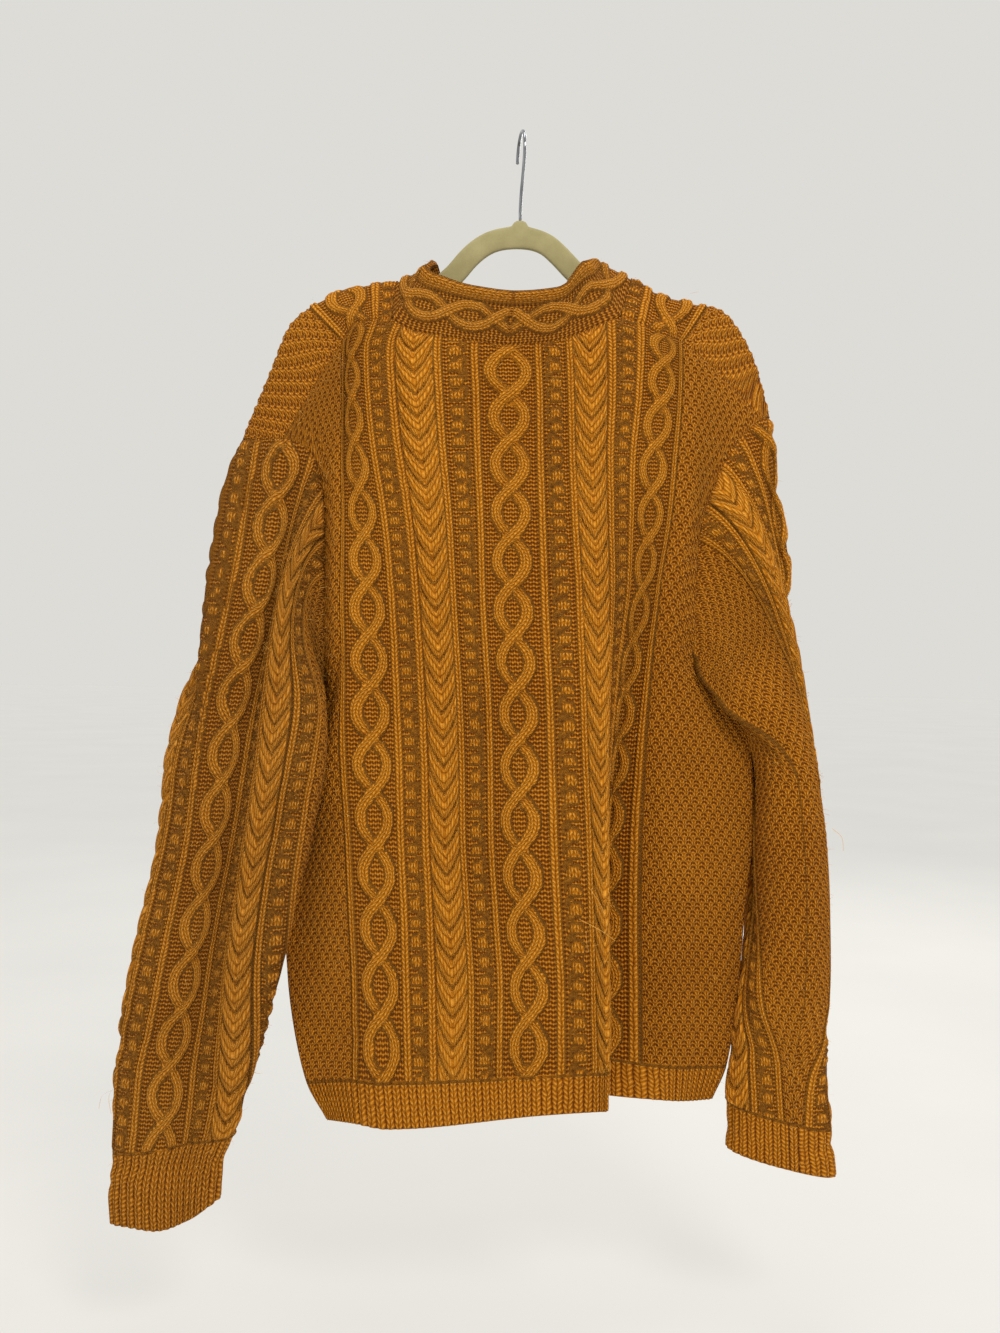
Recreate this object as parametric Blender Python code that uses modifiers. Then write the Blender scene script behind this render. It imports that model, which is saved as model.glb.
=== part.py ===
"""A hand-knitted cable cardigan hanging on a flocked hanger.

The origin is the inside top of the hanger's hook. The back of the cardigan faces -Y, its fronts face +Y,
and +Z is up. Tables and sizes are in millimetres, and the finished meshes are in metres.

Each knitted piece is a wall. A place on it has two names: across, the distance in the knitting from the
centre of the panel, and level, the height of that row of knitting at the centre of the back.
"""

import functools
import math

import bmesh
import bpy
import numpy as np

MM = 0.001

# The knitting
WALL = 4.0  # plain ground from the inside to the outside
SEAM_GAP = 0.3
SEAM_FADE = 9.0  # the pattern flattens over this much before a seam
STRAND = 3.6  # how far a cable's strand stands out
RIB = 2.2
BLOCK = 1.6
PLAIT = 3.0
OVAL_FILL = 0.6
STRAND_NEAR = 4.5  # half the distance between two strands where they cross
STRAND_FAR = 14.5  # and where they are furthest apart
PLAIT_HALF = 7.5
HEM_RIB = 7.9  # one knit and one purl rib
HEM_RIB_DEPTH = 1.8

# The panels of the back, from its centre to its side: half widths in the knitting
PLAIT_AT = 71.0
CHAIN_AT = 138.0
SIDE_AT = 261.0
NECK_AT = 98.0  # where the shoulder seam ends and the neck starts
BAND_SEAM_AT = 52.0  # where a front is sewn to its band

# Rows: the cable repeat grows from the shoulder to the hem, as the weight stretches the knitting
FIRST_OVAL_Z = -229.6
FIRST_REPEAT = 41.0
REPEAT_GROWTH = 0.43
ROWS_PER_REPEAT = 3
TOP_LEVEL = -170.0
REGULAR_TOP = -215.0
TOP_ROWS = 3  # rows above the regular ones, up to the neck and the shoulder seams
CROSSED_REPEAT = 0.5  # a place where the strands cross
SHOULDER_LEVEL = -140.0  # the front's row along the top of the shoulder
FRONT_RISE_ROWS = 16
FRONT_OVER_ROWS = 4
ARMPIT_NEAR = {"left": -520.0, "right": -480.0}
UNDERARM_OPEN = 6.0
V_END = -190.0  # where a front's slanted edge reaches the neck
BAND_SHARES = (0.0, 0.2, 0.42, 0.64, 0.8, 0.93, 1.0)
MOSS_SHARES = (0.33, 0.67)
SLEEVE_UPPER_ROWS = 12
SLEEVE_START = {"left": (0.15, 0.5), "right": (0.5, 0.45)}  # how a sleeve leaves its seam: onwards, and out
HEM_LEVEL = -861.0
HEM_END_LEVEL = -897.0


def columns(names, rows):
    """A table as a dictionary from each column's name to its numbers."""
    return {name: [row[i] for row in rows] for i, name in enumerate(names.split())}


# The back, a row for each level, and x, y and z for eight places across it: the left side, the left fold,
# the left chain cable, the centre, the sharp ridge of the pleat, the chain cable at the pleat's bottom,
# the soft crease beside the pleat, and the right side. Above the arms' openings the sides hang down.
BACK = columns(
    "level lx ly lz fx fy fz cx cy cz mx my rx ry rz hx hy hz kx ky kz sx sy sz",
    [
        (-170, -214, -27, -292, -161, -20, -200, -148, -19, -182, -10, -36, 62, -28, -170,
         134, -18, -184, 160, -20, -203, 226, -12, -263),
        (-205, -206, -27, -293, -161, -23, -225, -153, -22, -212, -10, -36, 64, -30, -205,
         133, -22, -212, 160, -23, -226, 207, -18, -280),
        (-250, -192, -23, -300, -160, -26, -262, -151, -27, -253, -8, -36, 66, -32, -250,
         130, -26, -253, 159, -26, -262, 190, -22, -303),
        (-300, -180, -15, -322, -160, -29, -305, -147, -31, -301, -7, -37, 67, -33, -300,
         124, -29, -301, 156, -28, -305, 177, -24, -338),
        (-360, -176, -10, -368, -158, -33, -362, -139, -34, -360, -5, -38, 70, -34, -360,
         121, -30, -360, 150, -30, -362, 168, -21, -375),
        (-430, -175, -10, -432, -158, -34, -430, -133, -36, -430, -3, -40, 74, -39, -430,
         115, -23, -430, 140, -29, -430, 166, -15, -435),
        (-480, -175, -7, -480, -157, -34, -480, -130, -37, -480, 0, -41, 75, -46, -480,
         107, -14, -480, 139, -22, -480, 168, -10, -480),
        (-520, -176, 2, -520, -156, -34, -520, -128, -38, -520, 3, -42, 76, -51, -520,
         102, -7, -520, 141, -18, -520, 194, -3, -520),
        (-570, -199, 12, -570, -156, -33, -570, -126, -38, -570, 5, -43, 77, -54, -570,
         97, -1, -570, 143, -14, -570, 223, 5, -570),
        (-650, -211, 15, -650, -151, -30, -650, -122, -40, -650, 7, -44, 80, -58, -650,
         91, 5, -650, 145, -8, -650, 227, 11, -650),
        (-720, -212, 14, -720, -147, -28, -720, -118, -40, -720, 12, -44, 82, -60, -720,
         90, 8, -720, 146, -6, -720, 221, 12, -720),
        (-790, -207, 8, -790, -143, -26, -790, -115, -40, -790, 17, -44, 84, -60, -790,
         91, 8, -790, 148, -4, -790, 216, 12, -790),
        (-861, -187, -4, -881, -141, -25, -872, -112, -40, -869, 17, -44, 86, -60, -851,
         92, 7, -858, 149, -2, -863, 206, 12, -866),
        (-897, -167, -8, -915, -137, -24, -913, -108, -39, -912, 18, -44, 86, -59, -886,
         93, 5, -893, 150, 0, -896, 193, 12, -898),
    ],
)
INNER_HALF = (0.0, 22.5, 39.0, 56.5, 71.0, 86.0, 98.0, 118.0, 138.0, 158.0, 198.0, 230.0, 261.0)
BACK_INNER = [-a for a in INNER_HALF[:0:-1]] + list(INNER_HALF)
FRONT_INNER = [a for a in INNER_HALF[::-1] if a > 60.0]
SLEEVE_INNER = (22.5, 39.0, 56.5, 71.0, 86.0, 98.0, 118.0, 118.33, 118.67)
BACK_PLACES = (
    (-SIDE_AT, "l"), (-167.0, "f"), (-CHAIN_AT, "c"), (0.0, "m"),
    (PLAIT_AT, "r"), (CHAIN_AT, "h"), (185.0, "k"), (SIDE_AT, "s"),
)

# The line where the neck band is sewn to the back
NECK_LINE = columns("across level", [(-98, -170), (-66, -190), (-34, -200), (0, -205), (38, -201), (70, -189), (98, -172)])

# The upper fronts, from the arm's opening over the top of the shoulder to the seam on the back. Each row
# has x, y and z at a few places across.
FRONT_UPPER = {
    "left": {
        "rows": [
            (-430, columns("across x y z", [(261, -176, 12, -432), (138, -138, 34, -430), (98, -108, 36, -430), (48, -62, 37, -430)])),
            (-360, columns("across x y z", [(261, -180, 16, -366), (138, -142, 33, -360), (98, -108, 35, -360), (48, -62, 36, -360)])),
            (-300, columns("across x y z", [(261, -190, 21, -318), (138, -146, 30, -302), (98, -106, 33, -300), (48, -60, 35, -300)])),
            (-240, columns("across x y z", [(261, -220, 20, -294), (138, -150, 23, -246), (98, -105, 28, -240), (48, -58, 33, -240)])),
            (-190, columns("across x y z", [(261, -246, 8, -288), (185, -203, 15, -212), (150, -170, 15, -184), (98, -106, 17, -178)])),
            (-140, columns("across x y z", [(261, -254, -5, -288), (215, -229, 0, -222), (185, -211, 0, -179),
                                            (150, -178, 0, -155), (98, -113, 0, -134)])),
        ],
    },
    "right": {
        "rows": [
            (-430, columns("across x y z", [(261, 169, 6, -434), (138, 132, 33, -430), (98, 104, 36, -430), (48, 58, 37, -430)])),
            (-360, columns("across x y z", [(261, 173, 17, -362), (138, 134, 32, -360), (98, 102, 35, -360), (48, 57, 36, -360)])),
            (-300, columns("across x y z", [(261, 186, 22, -312), (138, 136, 29, -300), (98, 100, 33, -300), (48, 54, 35, -300)])),
            (-240, columns("across x y z", [(261, 210, 18, -276), (138, 138, 23, -244), (98, 99, 28, -240), (48, 52, 33, -240)])),
            (-190, columns("across x y z", [(261, 228, 13, -266), (185, 190, 15, -205), (150, 158, 15, -184), (98, 98, 17, -178)])),
            (-140, columns("across x y z", [(261, 235, 1, -260), (215, 216, 0, -200), (185, 194, 0, -169),
                                            (150, 157, 0, -153), (98, 104, 0, -131)])),
        ],
    },
}
SEAM_LEVEL = -100.0  # the front's last row, sewn to the back
FRONT_DEPTH = columns("level y", [(-897, 38), (-861, 40), (-720, 44), (-570, 42), (-430, 37)])
FRONT_CENTRE = columns("level x", [(-897, 12), (-720, 6), (-520, -2), (-300, -5), (-140, -6)])
FRONT_FOLDS = columns("across depth width drift", [(205, 7, 24, 10), (150, -8, 26, -14), (92, 6, 20, 8)])

# The sleeves below the arm's opening: the outermost and innermost x, the nearest and furthest y, where the
# cable at the sleeve's centre and the plait beside it run, as shares of the way round, and half the knitting
SLEEVES = {
    "left": columns(
        "z out in near far centre plait half zout zin skew",
        [
            (-600, -314, -171, -50, 1, 0.22, 0.34, 205, -600, -600, 15),
            (-655, -323, -181, -49, 0, 0.22, 0.34, 195, -655, -655, 14),
            (-710, -332, -195, -49, -2, 0.22, 0.35, 184, -710, -710, 12),
            (-757, -340, -206, -48, -4, 0.22, 0.36, 172, -757, -757, 8),
            (-805, -348, -216, -47, -5, 0.22, 0.38, 160, -808, -802, 5),
            (-860, -355, -229, -45, -5, 0.21, 0.41, 146, -866, -854, 2),
            (-930, -357, -250, -42, -7, 0.22, 0.44, 128, -939, -923, 0),
            (-968, -360, -259, -43, -6, 0.22, 0.44, 124, -972, -950, 0),
            (-990, -358, -261, -42, -7, 0.22, 0.44, 122, -1003, -976, 0),
        ],
    ),
    "right": columns(
        "z out in near far centre plait half zout zin skew",
        [
            (-600, 288, 237, -28, 76, -0.24, -0.03, 205, -600, -600, 0),
            (-660, 295, 236, -29, 74, -0.25, -0.04, 195, -660, -660, 0),
            (-725, 298, 234, -28, 70, -0.26, -0.05, 182, -727, -723, 0),
            (-775, 299, 228, -26, 64, -0.27, -0.06, 166, -780, -770, 0),
            (-805, 299, 221, -22, 60, -0.28, -0.07, 156, -814, -796, 0),
            (-860, 298, 213, -14, 46, -0.28, -0.06, 130, -876, -846, 0),
            (-910, 303, 209, -12, 36, -0.28, -0.06, 126, -922, -898, 0),
            (-952, 308, 208, -11, 34, -0.28, -0.06, 124, -966, -942, 0),
        ],
    ),
}
CUFF_ROW = {"left": 6, "right": 5}  # the row of the table where the ribbed cuff starts
SLEEVE_JOIN_Z = -600.0
SLEEVE_REPEAT = 52.0
SLEEVE_ROWS_PER_REPEAT = 2
SLEEVE_MOSS_AT = 118.0  # where the patterned panel ends and the plain moss stitch starts
OVAL_POWER = 2.4
SLEEVE_VALLEY = {"left": 9.0, "right": 0.0}  # the chain cable lies in a soft valley
VALLEY_AT = 34.0
VALLEY_WIDTH = 26.0

# The band: its free edge from its seam, by the level of the seam on the front, and across on the back
BAND_ON_BACK = columns("across dx dy dz", [(-98, 22, 7, 50), (-66, 10, 4, 54), (-34, 5, 2, 50), (0, 5, 1, 49),
                                          (38, 6, 2, 50), (70, -8, 6, 58), (98, -26, 8, 55)])
BAND_ON_FRONT = columns("level dx dy dz", [(-897, 43, 2, 0), (-430, 43, 2, -3), (-380, 40, 1, -16), (-300, 38, 1, -24),
                                          (-240, 38, 2, -20), (-190, 36, 9, 10), (-140, 34, 4, 15), (-100, 24, 7.5, 52)])
V_START = -400.0
BAND_STRAND = 3.0

# The hanger
ARM_TOP = columns("x z", [(-206, -211), (-200, -205), (-183, -187), (-154, -169), (-120, -157), (-90, -142), (-67, -124),
                          (-32, -94), (0, -84), (30, -93), (59, -121), (85, -141), (112, -156), (139, -167), (160, -177),
                          (180, -189), (188, -195)])
ARM_DEPTH = 20.0
ARM_THICK = 6.0
NUB_RADIUS = 4.2
NUB_HEIGHT = 7.0
WIRE = 3.0
HOOK_RADIUS = 19.0
HOOK_TURN = 0.15  # the hook is turned a little from the hanger's own front to back line
STEM_BOTTOM = -83.7


def monotone(keys, values, at):
    """A smooth curve through the rows of a table. It never overshoots them."""
    keys = np.asarray(keys, float)
    values = np.asarray(values, float)
    if keys[0] > keys[-1]:
        keys, values = keys[::-1], values[::-1]
    step = np.diff(keys)
    rise = np.diff(values) / step
    slope = np.zeros(len(keys))
    slope[0], slope[-1] = rise[0], rise[-1]
    for i in range(1, len(keys) - 1):
        if rise[i - 1] * rise[i] > 0:
            before, after = 2 * step[i] + step[i - 1], step[i] + 2 * step[i - 1]
            slope[i] = (before + after) / (before / rise[i - 1] + after / rise[i])
    at = np.clip(np.asarray(at, float), keys[0], keys[-1])
    i = np.clip(np.searchsorted(keys, at) - 1, 0, len(keys) - 2)
    t = (at - keys[i]) / step[i]
    return (
        (2 * t**3 - 3 * t**2 + 1) * values[i]
        + (t**3 - 2 * t**2 + t) * step[i] * slope[i]
        + (3 * t**2 - 2 * t**3) * values[i + 1]
        + (t**3 - t**2) * step[i] * slope[i + 1]
    )


def read(table, key, name, at):
    return float(monotone(table[key], table[name], at))


def unit(v):
    return v / max(np.linalg.norm(v), 1e-9)


def ease(t):
    t = min(max(t, 0.0), 1.0)
    return t * t * (3 - 2 * t)


def level_of(repeat):
    """The level of a place counted in cable repeats down from the middle of the first oval."""
    return FIRST_OVAL_Z - FIRST_REPEAT * repeat - REPEAT_GROWTH * repeat * repeat


def repeat_of(level):
    down = FIRST_OVAL_Z - level
    return (-FIRST_REPEAT + math.sqrt(FIRST_REPEAT**2 + 4 * REPEAT_GROWTH * down)) / (2 * REPEAT_GROWTH)


@functools.lru_cache(None)
def back_places(level):
    """The x, y and z of the named places of the back at a level."""
    found = {axis: [read(BACK, "level", name + axis, level) for _, name in BACK_PLACES] for axis in "xy"}
    found["z"] = [level if name == "m" else read(BACK, "level", name + "z", level) for _, name in BACK_PLACES]
    return found


@functools.lru_cache(None)
def back_point_at(across, level):
    keys = [place for place, _ in BACK_PLACES]
    return tuple(float(monotone(keys, values, across)) for values in back_places(level).values())


def opening_swell(across, level, armpit):
    """How far the cloth beside the arm's opening is held out, just above the armpit."""
    above = level - armpit
    return UNDERARM_OPEN * ease(above / 25.0) * (1 - ease((above - 25.0) / 110.0)) * ease((abs(across) - 200.0) / 61.0)


def back_point(across, level):
    armpit = ARMPIT_NEAR["left" if across < 0 else "right"]
    return np.array(back_point_at(across, level)) - np.array([0.0, opening_swell(across, level, armpit), 0.0])


def side_sign(side):
    return -1.0 if side == "left" else 1.0


def front_lower(side, across, level):
    """A front below the arm's opening, from the side seam round to the band."""
    s = side_sign(side)
    edge = back_point(s * SIDE_AT, level)
    seam_x = read(FRONT_CENTRE, "level", "x", level) + s * 47.0
    share = (SIDE_AT - across) / (SIDE_AT - BAND_SEAM_AT)
    x = edge[0] + (seam_x - edge[0]) * (share * (0.55 + 0.45 * share) if share < 1 else share)
    turn = math.sqrt(max(0.0, 1 - (1 - min(share * 2.6, 1.0)) ** 2))
    y = edge[1] + (read(FRONT_DEPTH, "level", "y", level) - edge[1]) * turn
    for at, depth, width, drift in zip(*(FRONT_FOLDS[n] for n in ("across", "depth", "width", "drift"))):
        middle = at + drift * math.sin(level / 130.0)
        y += depth * ease((level - TOP_LEVEL) / -350.0) * math.exp(-(((across - middle) / width) ** 2))
    z = edge[2] + (level - edge[2]) * ease(share * 1.5)
    return np.array([x, y, z])


@functools.lru_cache(None)
def front_rows(side, across):
    """The points of one line of knitting up a front, from the armpit's level to the seam on the back."""
    upper = FRONT_UPPER[side]
    points = [(ARMPIT[side], front_lower(side, across, ARMPIT[side]))]
    for level, row in upper["rows"]:
        points.append((level, np.array([read(row, "across", axis, across) for axis in "xyz"])))
    points.append((SEAM_LEVEL, back_point(side_sign(side) * max(across, NECK_AT), TOP_LEVEL)))
    return points


def front_point(side, across, level):
    if level <= ARMPIT[side]:
        return front_lower(side, across, level)
    points = front_rows(side, across)
    keys = [key for key, _ in points]
    place = np.array([float(monotone(keys, [p[i] for _, p in points], level)) for i in range(3)])
    return place + np.array([0.0, opening_swell(across, level, ARMPIT_NEAR[side]), 0.0])


def strand_gap(repeat):
    """Half the distance between two strands: widest at whole repeats, least between them."""
    return STRAND_NEAR + (STRAND_FAR - STRAND_NEAR) * abs(math.cos(math.pi * repeat)) ** 0.7


def half_columns(repeat):
    """Offsets and heights across half of a patterned panel, from the chain cable at its centre outwards."""
    gap = strand_gap(repeat)
    crossing = gap < 7
    fill = STRAND if crossing else OVAL_FILL
    chain = [(CHAIN_AT - gap, STRAND), (CHAIN_AT, fill), (CHAIN_AT + gap, STRAND)]
    return [
        (gap, STRAND), (22.5, 0.0), (25.5, RIB), (39.0, BLOCK), (53.0, RIB), (56.5, 0.0),
        (PLAIT_AT - PLAIT_HALF, PLAIT), (PLAIT_AT, 1.0), (PLAIT_AT + PLAIT_HALF, PLAIT), (86.0, 0.0),
        (90.0, RIB), (NECK_AT, BLOCK), (114.0, RIB), (118.0, 0.0),
        *chain, (158.0, 0.0), (162.5, RIB), (167.0, 0.0),
        (198.0, 0.5), (230.0, 0.5), (SIDE_AT, 0.0),
    ]


def middle_column(repeat):
    return (0.0, STRAND if strand_gap(repeat) < 7 else OVAL_FILL)


class Wall:
    """A closed wall of cloth: rows of outer points, rows of inner points, and the rims that join them."""

    def __init__(self):
        self.points = []
        self.faces = []

    def row(self, places):
        """Adds points from (key, position) pairs, and returns (key, index) pairs."""
        start = len(self.points)
        self.points.extend(position for _, position in places)
        return [(key, start + i) for i, (key, _) in enumerate(places)]

    def strip(self, a, b):
        """Joins two rows of (key, index), whatever their counts, in the order of their keys."""
        i = j = 0
        last_a, last_b = len(a) - 1, len(b) - 1
        while i < last_a or j < last_b:
            next_a = (a[i + 1][0] - a[0][0]) / (a[-1][0] - a[0][0]) if i < last_a else 2.0
            next_b = (b[j + 1][0] - b[0][0]) / (b[-1][0] - b[0][0]) if j < last_b else 2.0
            if abs(next_a - next_b) < 1e-6:
                self.faces.append((a[i][1], a[i + 1][1], b[j + 1][1]))
                self.faces.append((a[i][1], b[j + 1][1], b[j][1]))
                i, j = i + 1, j + 1
            elif next_a < next_b:
                self.faces.append((a[i][1], a[i + 1][1], b[j][1]))
                i += 1
            else:
                self.faces.append((a[i][1], b[j + 1][1], b[j][1]))
                j += 1

    def sheet(self, rows, ring=False):
        for a, b in zip(rows, rows[1:]):
            if ring:
                a = a + [(a[0][0] + 2.0, a[0][1])]
                b = b + [(b[0][0] + 2.0, b[0][1])]
            self.strip(a, b)

    def build(self, name, material, parts):
        """Makes the object, with its faces turned outwards."""
        mesh = bpy.data.meshes.new(name)
        mesh.from_pydata([tuple(p * MM) for p in self.points], [], self.faces)
        shape = bmesh.new()
        shape.from_mesh(mesh)
        bmesh.ops.recalc_face_normals(shape, faces=shape.faces)
        if shape.calc_volume(signed=True) < 0:
            bmesh.ops.reverse_faces(shape, faces=shape.faces)
        shape.to_mesh(mesh)
        shape.free()
        mesh.materials.append(material)
        thing = bpy.data.objects.new(name, mesh)
        parts.objects.link(thing)
        return thing


def new_material(name, colour, roughness, metallic=0.0):
    material = bpy.data.materials.new(name)
    material.use_nodes = True
    shader = material.node_tree.nodes["Principled BSDF"]
    shader.inputs["Base Color"].default_value = (*colour, 1.0)
    shader.inputs["Roughness"].default_value = roughness
    shader.inputs["Metallic"].default_value = metallic
    return material


def body_rows():
    """The rows of the body from the top of the hem's rib to just under the neck, in cable repeats."""
    rows = [repeat_of(HEM_LEVEL)]
    k = math.floor(rows[0] * ROWS_PER_REPEAT - 0.3)
    while level_of(k / ROWS_PER_REPEAT) <= REGULAR_TOP:
        rows.append(k / ROWS_PER_REPEAT)
        k -= 1
    return rows


ROWS = body_rows()
LAST = len(ROWS) - 1 + TOP_ROWS
ARMPIT_ROW = {
    side: min(range(len(ROWS)), key=lambda i: abs(level_of(ROWS[i]) - ARMPIT_NEAR[side])) for side in ARMPIT_NEAR
}
ARMPIT = {side: level_of(ROWS[row]) for side, row in ARMPIT_ROW.items()}


def top_level(across):
    """The level where the back ends: the neck line, or the shoulder seam beyond it."""
    if abs(across) >= NECK_AT:
        return TOP_LEVEL
    return read(NECK_LINE, "across", "level", across)


def back_level(row, across):
    """The level of a numbered row of the back. Rows below nought are the hem's rib."""
    if row == -2:
        return HEM_END_LEVEL
    if row == -1:
        return HEM_LEVEL - 3.0
    if row < len(ROWS):
        return level_of(ROWS[row])
    regular = level_of(ROWS[-1])
    return regular + (top_level(across) - regular) * (row - len(ROWS) + 1) / TOP_ROWS


def row_repeat(row):
    return ROWS[row] if row < len(ROWS) - 1 else CROSSED_REPEAT


def inner_rows(first, last, kept):
    """Every third row, with the first, the last and those that have to be kept."""
    rows = {first, last, *kept}
    for row in range(first, last):
        if row % 3 == 0 and all(abs(row - other) > 1 for other in rows):
            rows.add(row)
    return sorted(rows)


BODY_INNER_ROWS = inner_rows(-2, LAST, {0, len(ROWS) - 1, *ARMPIT_ROW.values(), *(r - 1 for r in ARMPIT_ROW.values())})


def armhole(side):
    """The ring where a sleeve is sewn on: (key, place, way out of the cloth, way into the sleeve).

    Keys run from -1 at the armpit up the front's edge to 0 at the shoulder, and down the back's to 1.
    """
    s = side_sign(side)
    back = [back_point(s * SIDE_AT, back_level(row, s * SIDE_AT)) for row in range(ARMPIT_ROW[side], LAST + 1)]
    front = [front_point(side, SIDE_AT, level) for level in front_levels(side)[:-1]]
    loop = front + back[::-1]
    count = len(loop)
    centre = sum(loop) / count
    into = unit(np.array([s * 0.8, 0.0, -0.6]))
    ways = []
    for i in range(count - 1):
        onwards = unit(loop[(i + 1) % (count - 1)] - loop[i])
        tangent = unit(onwards + unit(loop[i] - loop[(i - 1) % (count - 1)]))
        n = unit(np.cross(tangent, into))
        ways.append((n, np.cross(tangent, n)))
    turned = 1.0 if sum(np.dot(n, p - centre) for (n, _), p in zip(ways, loop)) > 0 else -1.0
    ways = [(n * turned, g if np.dot(g, into) > 0 else -g) for n, g in ways]
    ways.append(ways[0])
    lengths = np.cumsum([0.0] + [np.linalg.norm(b - a) for a, b in zip(loop, loop[1:])])
    split = len(front)
    keys = [-1 + l / lengths[split] if i < split else (l - lengths[split]) / (lengths[-1] - lengths[split])
            for i, l in enumerate(lengths)]
    return [(key, p, n, g) for key, p, (n, g) in zip(keys, loop, ways)], split


def front_levels(side):
    """The rows of a front above the arm's opening: up to the top of the shoulder and over it."""
    rise = np.linspace(ARMPIT[side], SHOULDER_LEVEL, FRONT_RISE_ROWS + 1)
    over = np.linspace(SHOULDER_LEVEL, SEAM_LEVEL, FRONT_OVER_ROWS + 1)
    return [*rise, *over[1:]]


def edge_way(side, row):
    """The way out of the cloth at the side of a back or front: at the side seam, or round the arm's opening."""
    s = side_sign(side)
    ring, split = RINGS[side]
    if row < ARMPIT_ROW[side]:
        return np.array([s, 0.0, 0.0])
    if row == ARMPIT_ROW[side]:
        return unit(np.array([s, 0.0, -1.0]))
    return ring[split + LAST - row][2]


def back_normal(across, level):
    return surface_normal(back_point, across, level, 1.0)


def surface_normal(surface, across, level, hand, reach=1.5):
    """The way out of the cloth, from four nearby points."""
    a = surface(across + reach, level) - surface(across - reach, level)
    b = surface(across, level + reach) - surface(across, level - reach)
    return hand * unit(np.cross(a, b))


def hem_columns(first, last):
    """Offsets and heights across a ribbed hem."""
    count = 2 * round(abs(last - first) / HEM_RIB)
    return [(first + (last - first) * i / count, HEM_RIB_DEPTH * (i % 2)) for i in range(count + 1)]


def back(parts, wool):
    wall = Wall()
    outer = []
    for row in range(-2, LAST + 1):
        if row < 0:
            places = hem_columns(-SIDE_AT, SIDE_AT)
        else:
            half = half_columns(row_repeat(row))
            places = [(-a, h) for a, h in half[::-1]] + [middle_column(row_repeat(row))] + half
        fade_rows = ease((LAST - row) / 2.0)
        points = []
        for across, height in places:
            level = back_level(row, across)
            side_fade = ease((SIDE_AT - abs(across)) / SEAM_FADE)
            lift = height * side_fade * fade_rows
            points.append((across, back_point(across, level) + back_normal(across, level) * lift))
        outer.append(wall.row(points))
    wall.sheet(outer)
    inner_numbers = BODY_INNER_ROWS
    inner = []
    for row in inner_numbers:
        points = []
        for across in BACK_INNER:
            level = back_level(row, across)
            side = "left" if across < 0 else "right"
            way = edge_way(side, row) if abs(across) == SIDE_AT else back_normal(across, level)
            points.append((across, back_point(across, level) - way * WALL))
        inner.append(wall.row(points))
    wall.sheet(inner)
    for end in (0, -1):
        wall.strip(
            [(row, line[end][1]) for row, line in zip(range(-2, LAST + 1), outer)],
            [(row, line[end][1]) for row, line in zip(inner_numbers, inner)],
        )
    wall.strip(outer[0], inner[0])
    for low, high in ((0.0, NECK_AT), (NECK_AT, SIDE_AT)):
        for s in (-1, 1):
            wall.strip(*(sorted((abs(k), i) for k, i in line if low <= k * s <= high) for line in (outer[-1], inner[-1])))
    return wall.build("back", wool, parts)


def v_edge(level):
    """Where a front meets its band: straight up, then slanted back to the neck."""
    share = (level - V_START) / (V_END - V_START)
    return BAND_SEAM_AT + (NECK_AT - BAND_SEAM_AT) * min(max(share, 0.0), 1.0)


def front_line(side):
    """The numbered rows of a front, as (row, level)."""
    s = side_sign(side)
    first = [(row, back_level(row, s * SIDE_AT)) for row in range(-2, ARMPIT_ROW[side])]
    return first + [(ARMPIT_ROW[side] + j, level) for j, level in enumerate(front_levels(side))]


def front_edge(side):
    """The seam between a front and its band: (row, place, way out of the cloth, way towards the band)."""
    s = side_sign(side)
    rows = front_line(side)
    places = [front_point(side, v_edge(level), level) for _, level in rows]
    places[-1] = shoulder_place(side, NECK_AT)
    found = []
    for i, (row, level) in enumerate(rows):
        along = unit(places[min(i + 1, len(rows) - 1)] - places[max(i - 1, 0)])
        way = front_way(side, v_edge(level), level)
        to_band = unit(np.cross(along, way))
        if to_band[0] * s > 0:
            to_band = -to_band
        found.append((row, places[i], way, to_band))
    return found


def shoulder_place(side, across):
    """The end of a front's line of knitting, just above the back's shoulder seam."""
    s = side_sign(side)
    seam = back_point(s * across, TOP_LEVEL)
    beside = back_point(s * (across + 2.0), TOP_LEVEL) - back_point(s * (across - 2.0), TOP_LEVEL)
    up = unit(np.cross(beside, back_normal(s * across, TOP_LEVEL)))
    return seam + up * (SEAM_GAP if up[2] > 0 else -SEAM_GAP)


def front_way(side, across, level):
    if level >= SEAM_LEVEL:
        return back_normal(side_sign(side) * across, TOP_LEVEL)
    return surface_normal(lambda a, l: front_point(side, a, l), across, level, -side_sign(side))


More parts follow.
